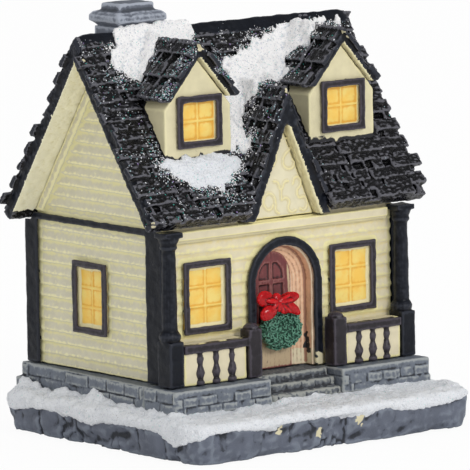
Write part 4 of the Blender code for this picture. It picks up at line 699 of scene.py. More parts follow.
number_of_points = maths(courses, "MULTIPLY", columns, given["Courses"])
points = add(courses, "GeometryNodePoints", number_of_points, add(courses, "ShaderNodeCombineXYZ", middle, butt, 0.0))
half_up = maths(courses, "SUBTRACT", butt, maths(courses, "MULTIPLY", given["Pitch"], 0.5))
ray = add(
    courses, "GeometryNodeRaycast",
    Target_Geometry=add(courses, "GeometryNodeObjectInfo", given["Region"]).outputs["Geometry"],
    Source_Position=add(courses, "ShaderNodeCombineXYZ", middle, half_up, 4 * MM),
    Ray_Direction=(0, 0, -1), Ray_Length=6.5 * MM,
)
bare = add(courses, "FunctionNodeBooleanMath", either(ray.outputs["Is Hit"], given["Everywhere"]), operation="NOT")
narrow = maths(courses, "MULTIPLY", given["Width"], 0.1)
thin = add(courses, "FunctionNodeCompare", wide, narrow, data_type="FLOAT", operation="LESS_THAN")
kept = add(courses, "GeometryNodeDeleteGeometry", points, either(bare, thin))
print("points wired:", len(courses.nodes), "nodes")

# %% [markdown]
# The wedge starts as a cube of a few dozen faces. It thins towards its upper end, its top is a little crowned,
# and it reaches well below its foot, so that the remesh joins it to the roof.

# %% One wedge, many times
CROWN, FOOT = 0.7, 0.6
block = add(courses, "GeometryNodeMeshCube", (1, 1, 1), 4, 4, 2).outputs["Mesh"]
at = add(courses, "ShaderNodeSeparateXYZ", add(courses, "GeometryNodeInputPosition").outputs[0]).outputs
back_along = maths(courses, "SUBTRACT", at[1], 0.5)
swell = add(courses, "ShaderNodeMapRange", back_along, -1.0, 0.0, given["Thin end"], 1.0).outputs[0]
crown = maths(courses, "MULTIPLY_ADD", maths(courses, "MULTIPLY", at[0], at[0]), -CROWN, 1.0)
rise = maths(courses, "ADD", maths(courses, "MULTIPLY", swell, crown), FOOT)
high = maths(courses, "MULTIPLY_ADD", maths(courses, "ADD", at[2], 0.5), rise, -FOOT)
shape = add(courses, "ShaderNodeCombineXYZ", at[0], back_along, high)
wedge = add(courses, "GeometryNodeSetPosition", Geometry=block, Position=shape)
uneven = maths(courses, "MULTIPLY_ADD", chance(courses, -1.0, 1.0, key, given["Seed"]), given["Rough"], 1.0)
size = add(
    courses, "ShaderNodeCombineXYZ", maths(courses, "SUBTRACT", wide, given["Joint"]),
    maths(courses, "MULTIPLY", given["Pitch"], given["Overlap"]),
    maths(courses, "MULTIPLY", given["Thickness"], uneven),
)
sized = add(
    courses, "GeometryNodeStoreNamedAttribute", kept, data_type="FLOAT_VECTOR", domain="POINT", Name="size",
    Value=size,
)
held = add(courses, "GeometryNodeInputNamedAttribute", "size", data_type="FLOAT_VECTOR").outputs[0]
laid = add(courses, "GeometryNodeInstanceOnPoints", Points=sized, Instance=wedge, Scale=held)
close_tree(courses, taken, laid, given["Paint"])

# %% [markdown]
# A slope has its own small frame: across the courses, down them and out of the roof. The tree works in that
# frame, and a matrix then lays its wedges on the roof.

# %% Lay courses on a slope


def slope_frame(top, foot, ridge):
    """The matrix of a slope from a point on its ridge and one on its eave, in millimetres."""
    down = (Vector(foot) - Vector(top)).normalized()
    across = Vector(ridge).normalized()
    out = across.cross(down)
    if out.z < 0:
        across, out = -across, -out
    return placed_axes(Vector(top) * MM, across, down, out)


UNITLESS = ("Columns", "Courses", "Overlap", "Thin_end", "Rough", "Jitter", "Seed")


def lay(slope, over, paint, **values):
    """Wedges on a slope, only where a CAD solid lies under them if one is named. Lengths are in millimetres."""
    target = None
    if over:
        mesh = solid_of([over])
        mesh.transform(slope.inverted())
        target = put("region", mesh)
    settings = {"Region": target, "Everywhere": not over, "Paint": PAINTS[paint]}
    for label, value in values.items():
        settings[label.replace("_", " ")] = value if label in UNITLESS else value * MM
    made = grown("wedges", courses, **settings)
    if target:
        bpy.data.objects.remove(target)
    made.transform(slope)
    return made

# %% [markdown]
# The two main slopes are cast together with their wedges. Under the eaves the brush left a cream soffit, and the
# verges at the gable ends were painted a smooth black.

# %% Main roof
RIDGE_POINT = (0, 5.7, 90.1)
MAIN_SLOPES = (("roof_front", (0, -21.8, 51.5), 47.39, 0.6), ("roof_back", (0, 33.2, 49.4), 49.12, 0.38))
ROWS = 20
LIFT = Matrix.Translation((0, 0, 0.25 * MM))
SHAKES = {"Thin_end": 0.4, "Rough": 0.3, "Jitter": 0.5}
ROOF_LUMPS = {"Grain_size": 0.7, "Grain_depth": 0.2, "Lump_size": 1.6, "Lump_depth": 0.22}
SOFFIT_DEPTH, EAVE_EDGE, VERGE_X = 2.1 * MM, 2.5, 38.2 * MM

for number, (node, eave, length, share) in enumerate(MAIN_SLOPES):
    slope = slope_frame(RIDGE_POINT, eave, (1, 0, 0))
    tiles = lay(
        slope @ LIFT, node, "shingle", Low=-38.7, High=38.7, Columns=18, Courses=ROWS, Pitch=length / ROWS, Width=4.6,
        Thickness=0.88, Joint=0.42, Drop=0.3, Seed=3 + number, **SHAKES,
    )
    mesh = skin(
        [node, tiles], 0.28, "shingle", soften=1, seed=number, share=share, Grain_scale=(0.55, 1.0, 1.0), **ROOF_LUMPS
    )
    centres, normals = faces_of(mesh)
    down, out = (np.array(slope.to_3x3().col[i]) for i in (1, 2))
    from_ridge = centres - np.array(slope.translation)
    soffit = (from_ridge @ out < -SOFFIT_DEPTH) & (normals @ out < -0.5)
    soffit &= from_ridge @ down / MM < length - EAVE_EDGE
    verge = (abs(normals[:, 0]) > 0.8) & (abs(centres[:, 0]) > VERGE_X)
    repaint(mesh, (soffit, "soffit"), (verge & ~soffit, "black_trim"))
    place_piece("shingled_" + node, mesh, "black_shingle", node)
    print(node, len(mesh.polygons), "faces")

# %% [markdown]
# The cross gable and the dormers have the same shingles on steeper, shorter slopes, left and right of a ridge
# that runs front to back. Their grain runs down the slope as well, so the noise is squeezed along y and not x.
# Their front boards are black. The camera looks in under the right one, whose inner face is cream below a tip.

# %% Gable and dormer roofs
DORMER = {"top": 89.0, "half": 10.2, "foot": 77.3, "courses": 5, "span": (-14.7, 6.2), "rim": 1.2, "tip": 2.2}
GABLES = {
    "gable_roof": {
        "x": 0.8, "top": 77.8, "half": 12.15, "foot": 49.5, "courses": 12, "span": (-19.8, 0.2), "rim": 2.2,
        "tip": 7.8,
    },
    "dormer_roof_left": {"x": -19.6, **DORMER},
    "dormer_roof_right": {"x": 21.3, **DORMER},
}


def paint_boards(mesh, shape, outs):
    """Black on the front boards, and cream inside the right one."""
    centres, normals = faces_of(mesh)
    front = shape["span"][0]
    board = (normals[:, 1] < -0.6) & (centres[:, 1] < (front + 0.8) * MM)
    inside = centres - np.array((shape["x"], 0, shape["top"])) * MM
    depth = np.minimum(-(inside * (1, 0, 1)) @ outs[0], -(inside * (1, 0, 1)) @ outs[1]) / MM
    right = inside[:, 0] > 0
    under = (np.where(right, normals @ outs[1], normals @ outs[0]) < -0.4) & (depth > 1.6)
    inner = (centres[:, 1] < (front + 1.6) * MM) & (depth > shape["rim"]) & right
    cream = (inner | under) & (inside[:, 2] < -shape["tip"] * MM)
    repaint(mesh, (board, "black_trim"), (cream, "cream_dormer"))


for number, (node, shape) in enumerate(GABLES.items()):
    laid, outs = [], []
    for side in (-1, 1):
        top, foot = (shape["x"], 0, shape["top"]), (shape["x"] + side * shape["half"], 0, shape["foot"])
        slope = slope_frame(top, foot, (0, 1, 0))
        ends = sorted((slope.inverted() @ Vector((0, y * MM, 0))).x / MM for y in shape["span"])
        outs.append(np.array(slope.to_3x3().col[2]))
        laid.append(lay(
            slope @ LIFT, node, "shingle", Low=ends[0] + 0.3, High=ends[1], Columns=8, Courses=shape["courses"],
            Pitch=math.dist(top, foot) / shape["courses"], Width=4.0, Thickness=0.8, Joint=0.38, Drop=0.4,
            Seed=20 + number + side, **SHAKES,
        ))
    mesh = skin(
        [node, *laid], 0.28, "shingle", soften=1, seed=5 + number, Grain_scale=(0.0, 1.0, 0.22), **ROOF_LUMPS
    )
    paint_boards(mesh, shape, outs)
    place_piece("shingled_" + node, mesh, "black_shingle", node)
    print(node, len(mesh.polygons), "faces")

# %% [markdown]
# ## The ridge roll and the chimney
# The ridge is a thick smooth roll of black that the sculptor pushed on with a thumb, so its ends droop. The
# chimney is a blue-grey block with a stepped cap, and its stack is an eighth wider than the CAD's. Both are
# cast with broad lumps and hardly any grain.

# %% Ridge and chimney
DROOP, DROOP_FROM = 80, 35.2 * MM
STACK_SHAPE = Matrix((
    (1.13, 0, 0, 20.5 * 0.13 * MM), (0, 1.12, 0, -10 * 0.12 * MM), (0, 0, 1, 0.5 * MM), (0, 0, 0, 1)
))

mesh = skin(["ridge_cap"], 0.25, "black_trim", soften=12, seed=9, Lump_size=4.0, Lump_depth=0.3)
for vertex in mesh.vertices:
    vertex.co.z -= DROOP * max(0, abs(vertex.co.x) - DROOP_FROM) ** 2
place_piece("ridge_roll", mesh, "black_shingle", "ridge_cap")
stack = solid_of(["chimney_stack"])
stack.transform(STACK_SHAPE)
for number, (node, source) in enumerate((("chimney_stack", stack), ("chimney_cap", "chimney_cap"))):
    mesh = skin([source], 0.3, "slate", soften=4, seed=11 + number, Lump_size=3.0, Lump_depth=0.2, Grain_depth=0.05)
    place_piece("painted_" + node, mesh, "slate_paint", node)
print("ridge and chimney cast")

# %% [markdown]
# ## Lapped boards
# The walls are cast as lapped boards. They need no tree: the CAD has each board, and the casting rounds their
# lower edges and lets them wander.

# %% Walls
def cast_each(nodes, voxel, paint, slot, first_seed, **finish):
    """Casts each node by itself, with seeds that count on from the first."""
    for number, node in enumerate(nodes):
        mesh = skin([node], voxel, paint, seed=first_seed + number, **finish)
        place_piece("painted_" + node, mesh, slot, node)


BOARDS = {"Lump_size": 3.6, "Grain_depth": 0.06, "Grain_size": 0.9}
cast_each(("left_wall", "right_wall"), 0.34, "cream_side", "cream_paint", 20, Lump_depth=0.17, **BOARDS)
cast_each(("front_wall", "back_wall"), 0.34, "cream_front", "cream_paint", 22, Lump_depth=0.24, **BOARDS)
cast_each(("front_frieze",), 0.22, "cream_front", "cream_paint", 28, soften=1, Lump_size=4.0, Lump_depth=0.1)
cast_each(
    ("dormer_left", "dormer_right"), 0.3, "cream_dormer", "cream_paint", 30, soften=3, Lump_size=4.0, Lump_depth=0.15
)
print("walls cast:", [name for name in pieces if "wall" in name])

# %% [markdown]
# The pediment carries traditional scrollwork. It is cast with the wall, so each scroll is a round wire along a
# smooth curve, half sunk in the wall, and the casting runs the two together.

# %% Scrolls on the pediment
SCROLLS = (
    ((2.0, 66.9), (3.4, 67.0), (4.1, 65.9), (3.3, 64.4), (1.8, 63.2), (1.3, 61.6), (2.2, 60.2), (3.9, 60.2),
     (4.6, 61.3), (3.9, 62.1)),
    ((-1.5, 64.6), (-0.7, 63.3), (-1.0, 61.7), (-2.2, 60.4), (-3.0, 59.2)),
    ((-1.6, 57.6), (-0.4, 57.3), (0.6, 55.7), (1.7, 57.2), (2.9, 57.3)),
    ((0.6, 55.7), (0.7, 53.2)),
    ((-1.6, 52.3), (-2.6, 51.3), (-4.0, 52.0), (-4.3, 53.8), (-3.1, 55.0), (-1.6, 54.4), (-1.0, 52.8), (-0.9, 51.0),
     (0.1, 50.2)),
    ((0.7, 53.2), (1.9, 53.6), (2.9, 52.8), (2.6, 51.2), (3.6, 50.2), (4.9, 50.6)),
    ((4.0, 56.4), (4.6, 57.9), (6.0, 57.6), (6.2, 56.2), (5.2, 54.9), (5.6, 53.4), (7.3, 53.3), (8.0, 51.8),
     (7.2, 50.4), (5.9, 50.8)),
    ((-9.3, 50.0), (-1.9, 68.2)), ((10.9, 50.0), (3.5, 68.2)), ((10.0, 50.0), (2.9, 67.4)),
)
PEDIMENT_Y, SCROLL_RADIUS = -17.2, 0.25


def round_wire(name, radius, resolution):
    """An empty curve that shows as a round wire."""
    curve = bpy.data.curves.new(name, "CURVE")
    curve.dimensions, curve.use_fill_caps = "3D", True
    curve.bevel_depth, curve.bevel_resolution = radius, resolution
    return curve


curve = round_wire("scroll", SCROLL_RADIUS * MM, 2)
for path in SCROLLS:
    line = curve.splines.new("BEZIER")
    line.bezier_points.add(len(path) - 1)
    for point, (x, z) in zip(line.bezier_points, path):
        point.co = Vector((x, PEDIMENT_Y, z)) * MM
        point.handle_left_type = point.handle_right_type = "AUTO"
scrolls = finished(put("scroll", curve))
mesh = skin(["gable_wall", scrolls], 0.16, "pediment", soften=1, seed=33, Lump_size=4.0, Lump_depth=0.08)
place_piece("painted_gable_wall", mesh, "cream_paint", "gable_wall")
print("pediment", len(mesh.polygons), "faces")

# %% [markdown]
# ## Black trim
# Corner boards, the eave band, window frames, columns and rails are raised strips that a brush filled in with
# black. Their edges wander, so their lumps are small against the walls' and nearly as deep as they are thick.

# %% Trim
TRIMS = (
    "wall_trim_left", "wall_trim_right", "door_arch_frame", "window_frame_front_left",
    "window_frame_front_right", "window_frame_left_side", "window_frame_right_side", "window_frame_back",
    "window_frame_dormer_left", "window_frame_dormer_right", "porch_column_left", "porch_column_right",
    "balustrade_left", "balustrade_right",
)
for number, node in enumerate(TRIMS):
    # Frames and rails take the paler black, which is painted light from the lit panes.
    look = "worn_black" if "window" in node or "balustrade" in node else "black_trim"
    cast_each((node,), 0.22, look, "black_paint", 40 + number, soften=3, Lump_size=2.8, Lump_depth=0.2)
print("trims cast:", len(TRIMS))

# %% [markdown]
# ## Parapets
# Behind each rail stands a cream parapet. It could stay a plain panel, but on the casting it fills the gaps
# between the balusters, which stand out of it in relief, so a slab is cast on to its front.

# %% Parapets
FILL_FORWARD = 1.6


def slab(low, high):
    """A block between two corners, in millimetres."""
    bm = bmesh.new()
    bmesh.ops.create_cube(bm, size=1)
    for vertex in bm.verts:
        vertex.co = Vector([a + (b - a) * (v + 0.5) for a, b, v in zip(low, high, vertex.co)]) * MM
    return mesh_of(bm, "slab")


for number, node in enumerate(("parapet_left", "parapet_right")):
    low, high = (Vector(corner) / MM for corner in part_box(node))
    fill = slab((low.x, low.y - FILL_FORWARD, low.z), (high.x, low.y + 0.5, high.z))
    mesh = skin([node, fill], 0.28, "cream_front", seed=60 + number, Lump_size=3.0, Lump_depth=0.15)
    place_piece("painted_" + node, mesh, "cream_paint", node)
    print(node, len(mesh.polygons), "faces")

# %% [markdown]
# ## Bricks and steps
# The foundation is grey-blue brickwork that a blade cut into the clay: big bricks along the sides, and a smooth
# ledge over two low courses along the front. The tree that laid the shingles lays them, on upright faces and
# without the wedge's thin end. The joints stay as wide as the blade was.

# %% Bricks
FRONT_BRICKS = {"Start": 1.3, "Courses": 2, "Pitch": 2.15, "Width": 4.6, "Overlap": 0.8, "Joint": 0.55, "Drop": 0.2}
SIDE_BRICKS = {"Start": -0.1, "Courses": 2, "Pitch": 2.75, "Width": 7.2, "Overlap": 0.82, "Joint": 0.55, "Drop": 0.3}
EVEN = {"Thickness": 1.3, "Thin_end": 1.0, "Rough": 0.15}
BRICK_FACES = {
    "porch_block_left": (((-36.2, -25.4), (-9.4, -25.4), FRONT_BRICKS), ((-36.2, -13.8), (-36.2, -25.4), SIDE_BRICKS)),
    "porch_block_right": (((11.0, -25.4), (36.2, -25.4), FRONT_BRICKS), ((36.2, -25.4), (36.2, -13.8), SIDE_BRICKS)),
    "foundation": (
        ((-33.8, 34.2), (-36.0, -13.5), SIDE_BRICKS),
        ((36.0, -13.5), (33.8, 34.2), SIDE_BRICKS),
        ((33.8, 34.2), (-33.8, 34.2), SIDE_BRICKS),
    ),
}
BRICK_TOP, SUNK = 14.9, 0.9

for number, (node, faces) in enumerate(BRICK_FACES.items()):
    laid = []
    for face, (start, end, kind) in enumerate(faces):
        start, end = (Vector((*corner, BRICK_TOP)) * MM for corner in (start, end))
        length = (end - start).length / MM
        along, down = (end - start).normalized(), Vector((0, 0, -1))
        out = along.cross(-down)
        laid.append(lay(
            placed_axes(start - out * SUNK * MM, along, down, out), None, "brick", Low=0.1, High=length - 0.1,
            Columns=int(length / kind["Width"]) + 2, Jitter=0.45, Seed=70 + number * 5 + face, **EVEN, **kind,
        ))
    mesh = skin(
        [node, *laid], 0.24, "brick", soften=3, seed=70 + number, share=0.45, Lump_size=2.5, Lump_depth=0.16,
        Grain_depth=0.05,
    )
    place_piece("bricks_" + node, mesh, "grey_brick", node)
    print(node, len(mesh.polygons), "faces")

# %% [markdown]
# Each of the three steps is a single row of bricks. They could be cut like the foundation's, but in the photo
# they are shorter and rougher, so each riser gets one short course of its own.

# %% Steps
STEP_LEFT = -9.1
TREADS = ((-25.1, 11.2), (-22.7, 13.05), (-20.3, 14.8))

laid = []
for number, (y, z) in enumerate(TREADS):
    riser = placed_axes((STEP_LEFT * MM, (y + SUNK) * MM, z * MM), (1, 0, 0), (0, 0, -1), (0, -1, 0))
    laid.append(lay(
        riser, None, "steps", Low=0.1, High=19.7, Columns=7, Courses=1, Pitch=1.75, Width=3.9, Overlap=0.92, Joint=0.5,
        Jitter=0.6, Drop=0.2, Seed=60 + number, **EVEN,
    ))
mesh = skin(
    ["door_steps", *laid], 0.24, "steps", soften=3, seed=77, Lump_size=2.2, Lump_depth=0.25, Grain_depth=0.1,
    Grain_size=0.7,
)
place_piece("painted_door_steps", mesh, "grey_brick", "door_steps")
print("steps", len(mesh.polygons), "faces")

# %% [markdown]
# ## Lit windows
# A pane is yellow resin with its bars cast in, and the brush left a cream border where it couldn't reach the corner
# by the frame. The border isn't a separate strip, so the pane stores how near each point is to the frame.

# %% Windows


def bvh(name):
    mesh = pieces[name].data
    return BVHTree.FromPolygons([v.co for v in mesh.vertices], [p.vertices[:] for p in mesh.polygons])


def raise_to(name, label, values):
    """Keeps the larger of what a piece's skin carries and the new values."""
    mesh = pieces[name].data
    if label in mesh.attributes:
        values = np.maximum(values, numbers(mesh.attributes[label].data, "value"))
    keep(mesh, label, values)


def near(name, others, reach, label="stray_and_shade"):
    """Stores on a piece how many millimetres inside a reach of other pieces each point lies."""
    mesh = pieces[name].data
    found = np.zeros(len(mesh.vertices))
    for other in others:
        neighbour = bvh(other)
        for vertex in mesh.vertices:
            distance = neighbour.find_nearest(vertex.co, reach * MM)[3]
            if distance is not None:
                found[vertex.index] = max(found[vertex.index], reach - distance / MM)
    raise_to(name, label, found)


PANES = [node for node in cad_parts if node.startswith("window_pane")]
for number, node in enumerate(PANES):
    mesh = skin([node], 0.22, "pane", seed=80 + number, Lump_size=2.5, Lump_depth=0.1)
    place_piece("glowing_" + node, mesh, "lit_pane", node)
    border = 1.0 if "dormer" in node else 1.45
    near("glowing_" + node, ["painted_" + node.replace("pane", "frame")], border, "rim")
print("panes:", len(PANES))

# %% [markdown]
# ## The door
# A round-headed door of dark red panels stands back in a reveal of stepped arches. Below the wreath and along
# its right edge the maroon was never brushed on, so the planks show tan: that is the "halo" colour.

# %% Door and reveal
TAN_BELOW, TAN_RIGHT_OF, PALE_BELOW = 26.3, 3.6, 19.5
LEAF_SHAPE = Matrix(((1, 0, 0, -1.3 * MM), (0, 1, 0, -1.1 * MM), (0, 0, 1.05, 15.2 * -0.05 * MM), (0, 0, 0, 1)))

mesh = skin(["door_jamb"], 0.22, "reveal", seed=90, Lump_size=2.5, Lump_depth=0.12)
place_piece("painted_door_jamb", mesh, "door_wood", "door_jamb")
raise_to("painted_door_jamb", "halo", PALE_BELOW - numbers(mesh.vertices, "co", 3)[:, 2] / MM)
leaf = solid_of(["front_door"])
leaf.transform(LEAF_SHAPE)
mesh = skin(
    [leaf], 0.18, "door", soften=1, seed=91, Lump_size=2.0, Lump_depth=0.1, Grain_scale=(1.0, 1.0, 0.1),
    Grain_depth=0.08,
)
place_piece("painted_front_door", mesh, "door_wood", "front_door")
place = numbers(mesh.vertices, "co", 3) / MM
raise_to("painted_front_door", "halo", np.maximum(TAN_BELOW - place[:, 2], place[:, 0] - TAN_RIGHT_OF))
print("door", len(mesh.polygons), "faces")

# %% [markdown]
# ## Scattering
# The wreath is a ball of curled sprigs, and the snow is strewn with glitter. Both are many copies of one small
# closed shape, so one Geometry Nodes tree does them: it strews points over a surface, as densely as the
# surface's "sparkle" says, turns and sizes each copy at random, and gives each a random "tint" for its paint.

# %% Scatter tree
SCATTER_INPUTS = {
    "Geometry": ("Geometry", None),
    "Copy": ("Object", None),
    "Density": ("Float", 1e6),
    "Size": ("Float", 0.2 * MM),
    "Tilt": ("Float", 1.0),
    "Lift": ("Float", 0.0),
    "Seed": ("Int", 1),
    "Paint": ("Material", None),
}
scatter, given, taken = new_tree("Scatter", "GeometryNodeTree", SCATTER_INPUTS, {"Geometry": "Geometry"})
sparkle = add(scatter, "GeometryNodeInputNamedAttribute", "sparkle", data_type="FLOAT").outputs[0]
amount = maths(scatter, "MULTIPLY", sparkle, given["Density"])
strewn = add(
    scatter, "GeometryNodeDistributePointsOnFaces", Mesh=given["Geometry"], Density=amount, Seed=given["Seed"]
).outputs
turns = (maths(scatter, "MULTIPLY", given["Tilt"], -1.0), given["Tilt"])
low, high = (add(scatter, "ShaderNodeCombineXYZ", turn, turn, turn) for turn in turns)
tip = add(scatter, "FunctionNodeRandomValue", low, high, data_type="FLOAT_VECTOR", Seed=given["Seed"])
turned = add(
    scatter, "FunctionNodeRotateRotation", strewn["Rotation"], tip.outputs["Value"], rotation_space="LOCAL"
)
index = add(scatter, "GeometryNodeInputIndex").outputs[0]
scale = maths(scatter, "MULTIPLY", chance(scatter, 0.6, 1.4, index, given["Seed"]), given["Size"])
copies = add(
    scatter, "GeometryNodeInstanceOnPoints", Points=strewn["Points"], Rotation=turned, Scale=scale,
    Instance=add(scatter, "GeometryNodeObjectInfo", given["Copy"]).outputs["Geometry"],
)
rise = add(scatter, "ShaderNodeCombineXYZ", 0.0, 0.0, given["Lift"])
lifted = add(scatter, "GeometryNodeTranslateInstances", Instances=copies, Translation=rise)
tint = chance(scatter, 0.0, 1.0, maths(scatter, "ADD", index, 99.0), given["Seed"])
tinted = add(
    scatter, "GeometryNodeStoreNamedAttribute", lifted, data_type="FLOAT", domain="INSTANCE", Name="tint", Value=tint
)
close_tree(scatter, taken, tinted, given["Paint"])


def strew(surface, shape, paint, **values):
    """Copies of a shape over a mesh that holds "sparkle"."""
    carrier = put("copy", shape)
    made = grown("strewn", scatter, surface.copy(), Copy=carrier, Paint=paint, **values)
    bpy.data.objects.remove(carrier)
    return made

# %% [markdown]
# ## The wreath and its bow
# A sprig is a short curled wire. Hundreds of them over a ring give the wreath its curly skin, and the ring's
# middle is filled, as the casting fills it.

# %% Wreath


def sprig():
    """A curled wire about one unit across."""
    curl = [(0.55 * math.cos(a), 0.55 * math.sin(a) * 1.2, 0.25 + 0.1 * a) for a in np.linspace(0, 4.4, 7)]
    curve = round_wire("sprig", 0.3, 0)
    line = curve.splines.new("POLY")
    line.points.add(len(curl) - 1)
    for point, place in zip(line.points, curl):
        point.co = (*place, 1)
    return finished(put("sprig", curve))


def ball(centre, radii, detail=3):
    """An egg of triangles, in millimetres."""
    bm = bmesh.new()
    bmesh.ops.create_icosphere(bm, subdivisions=detail, radius=1)
    for vertex in bm.verts:
        vertex.co = Vector([c + r * v for c, r, v in zip(centre, radii, vertex.co)]) * MM
    return mesh_of(bm, "ball")


def stretched_about(place, centre, factors):
    """The matrix that stretches about a centre and takes the centre to a place, in millimetres."""
    back = Matrix.Translation(Vector(centre) * -MM)
    return Matrix.Translation(Vector(place) * MM) @ Matrix.Diagonal((*factors, 1.0)) @ back


low, high = (Vector(corner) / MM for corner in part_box("door_wreath"))
middle = (low + high) / 2
filler = ball((middle.x, middle.y + 0.4, middle.z), (3.4, 0.9, 3.4))
ring = solid_of(["door_wreath", filler])
ring.transform(stretched_about(middle + Vector((-0.35, 0, 0.35)), middle, (1.13, 1.0, 0.95)))
body = skin([ring], 0.25, "wreath", seed=92, Lump_size=2.0, Lump_depth=0.2)
keep(body, "sparkle", numbers(body.vertex_normals, "vector", 3)[:, 1] < 0.35)
sprigs = strew(body, sprig(), PAINTS["wreath"], Density=3.4e6, Size=0.48 * MM, Tilt=0.9, Seed=4)
mesh = skin([body, sprigs], 0.13, "wreath", soften=0, seed=92, Lump_size=1.2, Lump_depth=0.05)
place_piece("bushy_wreath", mesh, "wreath_green", "door_wreath")
print("wreath", len(mesh.polygons), "faces")

# %% [markdown]
# The bow stays smooth and wet. Its loops and tails are folds that run out from the knot, each with an angle, a
# length, a thickness and how far it stands forward.

# %% Bow
FOLDS = (
    (2, 3.8, 0.62, -1.6), (22, 3.3, 0.55, -1.5), (-36, 4.3, 0.62, -1.5), (-60, 2.8, 0.62, -1.6), (-86, 1.9, 0.6, -1.6),
    (168, 3.0, 0.65, -1.5), (214, 3.2, 0.6, -1.6),
)


def fold(knot, angle, length, thickness, forward):
    mesh = ball((length / 2, 0, 0), (length / 2 + 0.3, thickness, thickness), 2)
    turn = Matrix.Rotation(math.radians(-angle), 4, "Y")
    mesh.transform(Matrix.Translation((knot + Vector((0, forward + 1.0, 0))) * MM) @ turn)
    return mesh


low, high = (Vector(corner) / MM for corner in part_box("wreath_bow"))
middle = (low + high) / 2
knot = Vector((-2.3, (low.y + high.y) / 2, 30.6))
puffs = solid_of(["wreath_bow", *[fold(knot, *shape) for shape in FOLDS]])
puffs.transform(stretched_about(middle + Vector((-0.2, 0, 0.2)), middle, (1.06, 1.05, 1.05)))
mesh = skin([puffs], 0.13, "ribbon", soften=3, seed=93, Lump_size=1.9, Lump_depth=0.16)
place_piece("glossy_bow", mesh, "ribbon_red", "wreath_bow")
print("bow", len(mesh.polygons), "faces")

# %% [markdown]
# ## The rock
# The rock is smooth blue slate in front with a few deep upright cracks. Its underside is cut flat, as a casting
# stands on the face that its mould was filled through.

# %% Rock
ROCK_SPREAD = Matrix.Diagonal((1.03, 1.035, 1.0, 1.0))
stone = solid_of(["rock_base"])
stone.transform(ROCK_SPREAD)
mesh = skin(
    [stone], 0.45, "rock", soften=1, seed=95, Lump_size=8.0, Lump_depth=0.5, Crack_size=6.0, Crack_depth=0.55,
    Grain_depth=0.05, share=0.5,
)
for vertex in mesh.vertices:
    vertex.co.z = max(vertex.co.z, 0)
mesh.update()
place_piece("craggy_rock_base", mesh, "rock_paint", "rock_base")
print("rock", len(mesh.polygons), "faces")

# %% [markdown]
# ## Snow on the roof
# The paste was spooned along the ridge and slid into the valley, so it hides the shingles and dips where they dip.
# The CAD solids give its places. To lie on the finished shingles it is made as a field of heights: a fine
# grid inside each outline, dropped on to the roof from above, thick in the middle and thin at a crumbly edge.

# %% Outlines of the drifts
DRIFTS = {
    "snow_by_chimney": (
        ((-6.3, 4.0), (-6.4, 4.8), (-7.6, 5.6), (-10.0, 6.6), (-15.0, 6.8), (-22.0, 6.8), (-26.4, 6.4), (-27.8, 5.0),
         (-29.6, 3.7), (-31.1, 3.0), (-31.7, 2.0), (-32.3, 0.3), (-31.5, -0.8), (-29.3, -1.2), (-27.2, -2.2),
         (-25.5, -2.9),
         (-23.5, -2.3), (-21.5, -1.3), (-20.0, -0.4), (-16.5, 0.4), (-12.0, 1.6), (-9.0, 2.6), (-7.4, 3.2)),
        ("roof_snow_chimney",), 0.9,
    ),
    "snow_over_valley": (
        ((35.0, 4.2), (30.5, 4.4), (27.0, 4.4), (22.5, 4.2), (19.6, 4.1), (17.6, 4.0), (15.7, 3.8), (13.9, 3.2),
         (11.2, 2.5),
         (7.9, 1.9), (4.2, 1.0), (0.7, 0.2), (-1.8, 0.0), (-2.5, -1.3), (-2.4, -3.2), (-4.1, -4.7), (-8.2, -6.2),
         (-10.6, -8.2), (-10.7, -13.0), (-9.6, -13.6), (-8.0, -13.4), (-6.4, -13.5), (-5.2, -13.9), (-4.5, -14.2),
         (-4.3, -12.8), (-4.2, -11.2), (-4.6, -10.5), (-3.0, -8.5), (-2.2, -8.2), (-1.5, -9.3), (-1.6, -11.0),
         (-0.7, -10.9),
         (0.2, -10.6), (0.9, -9.6), (1.7, -7.2), (3.6, -5.0), (5.6, -3.9), (7.6, -3.4), (9.4, -3.9), (11.6, -5.2),
         (12.6, -6.2), (13.6, -4.6), (15.3, -2.1), (16.3, -1.9), (17.4, -4.0), (18.0, -6.0), (19.2, -6.9), (20.4, -5.9),
         (20.9, -4.8), (22.0, -2.6), (23.0, 0.4), (24.6, 2.6), (28.2, 3.3), (35.0, 3.4)),
        ("roof_snow_ridge", "roof_snow_valley"), 0.0,
    ),
    "snow_at_eave": (
        ((-31.2, -13.7), (-29.5, -13.5), (-27.0, -13.6), (-24.1, -13.4), (-20.5, -13.2), (-17.2, -13.2), (-14.0, -13.5),
         (-11.7, -14.0), (-9.5, -14.3), (-8.8, -15.6), (-9.7, -16.1), (-12.8, -17.5), (-15.2, -18.2), (-18.4, -18.8),
         (-20.7, -18.3), (-23.4, -18.0), (-26.5, -16.5), (-29.2, -15.5), (-30.9, -14.4)),
        ("roof_snow_eave",), 0.0,
    ),
}
# %% [markdown]
# A field of heights knows nothing of edges, so each point's depth inside the outline is found first, and
# neighbouring heights are then spread or averaged.

# %% Fields of heights


def depth_inside(points, outline):
    """How far inside an outline points lie, below nought outside."""
    nearest, crossings = np.full(len(points), np.inf), np.zeros(len(points), int)
    for start, end in zip(outline, np.roll(outline, -1, 0)):
        run = end - start
        share = np.clip(((points - start) @ run) / (run @ run), 0, 1)
        nearest = np.minimum(nearest, np.linalg.norm(points - start - share[:, None] * run, axis=1))
        spans = (start[1] > points[:, 1]) != (end[1] > points[:, 1])
        side = (points[:, 1] - start[1]) * run[0] / (run[1] or 1e-9) + start[0]
        crossings += spans & (points[:, 0] < side)
    return np.where(crossings % 2, nearest, -nearest)


BESIDE = ((0, 0), (1, 0), (-1, 0), (0, 1), (0, -1))


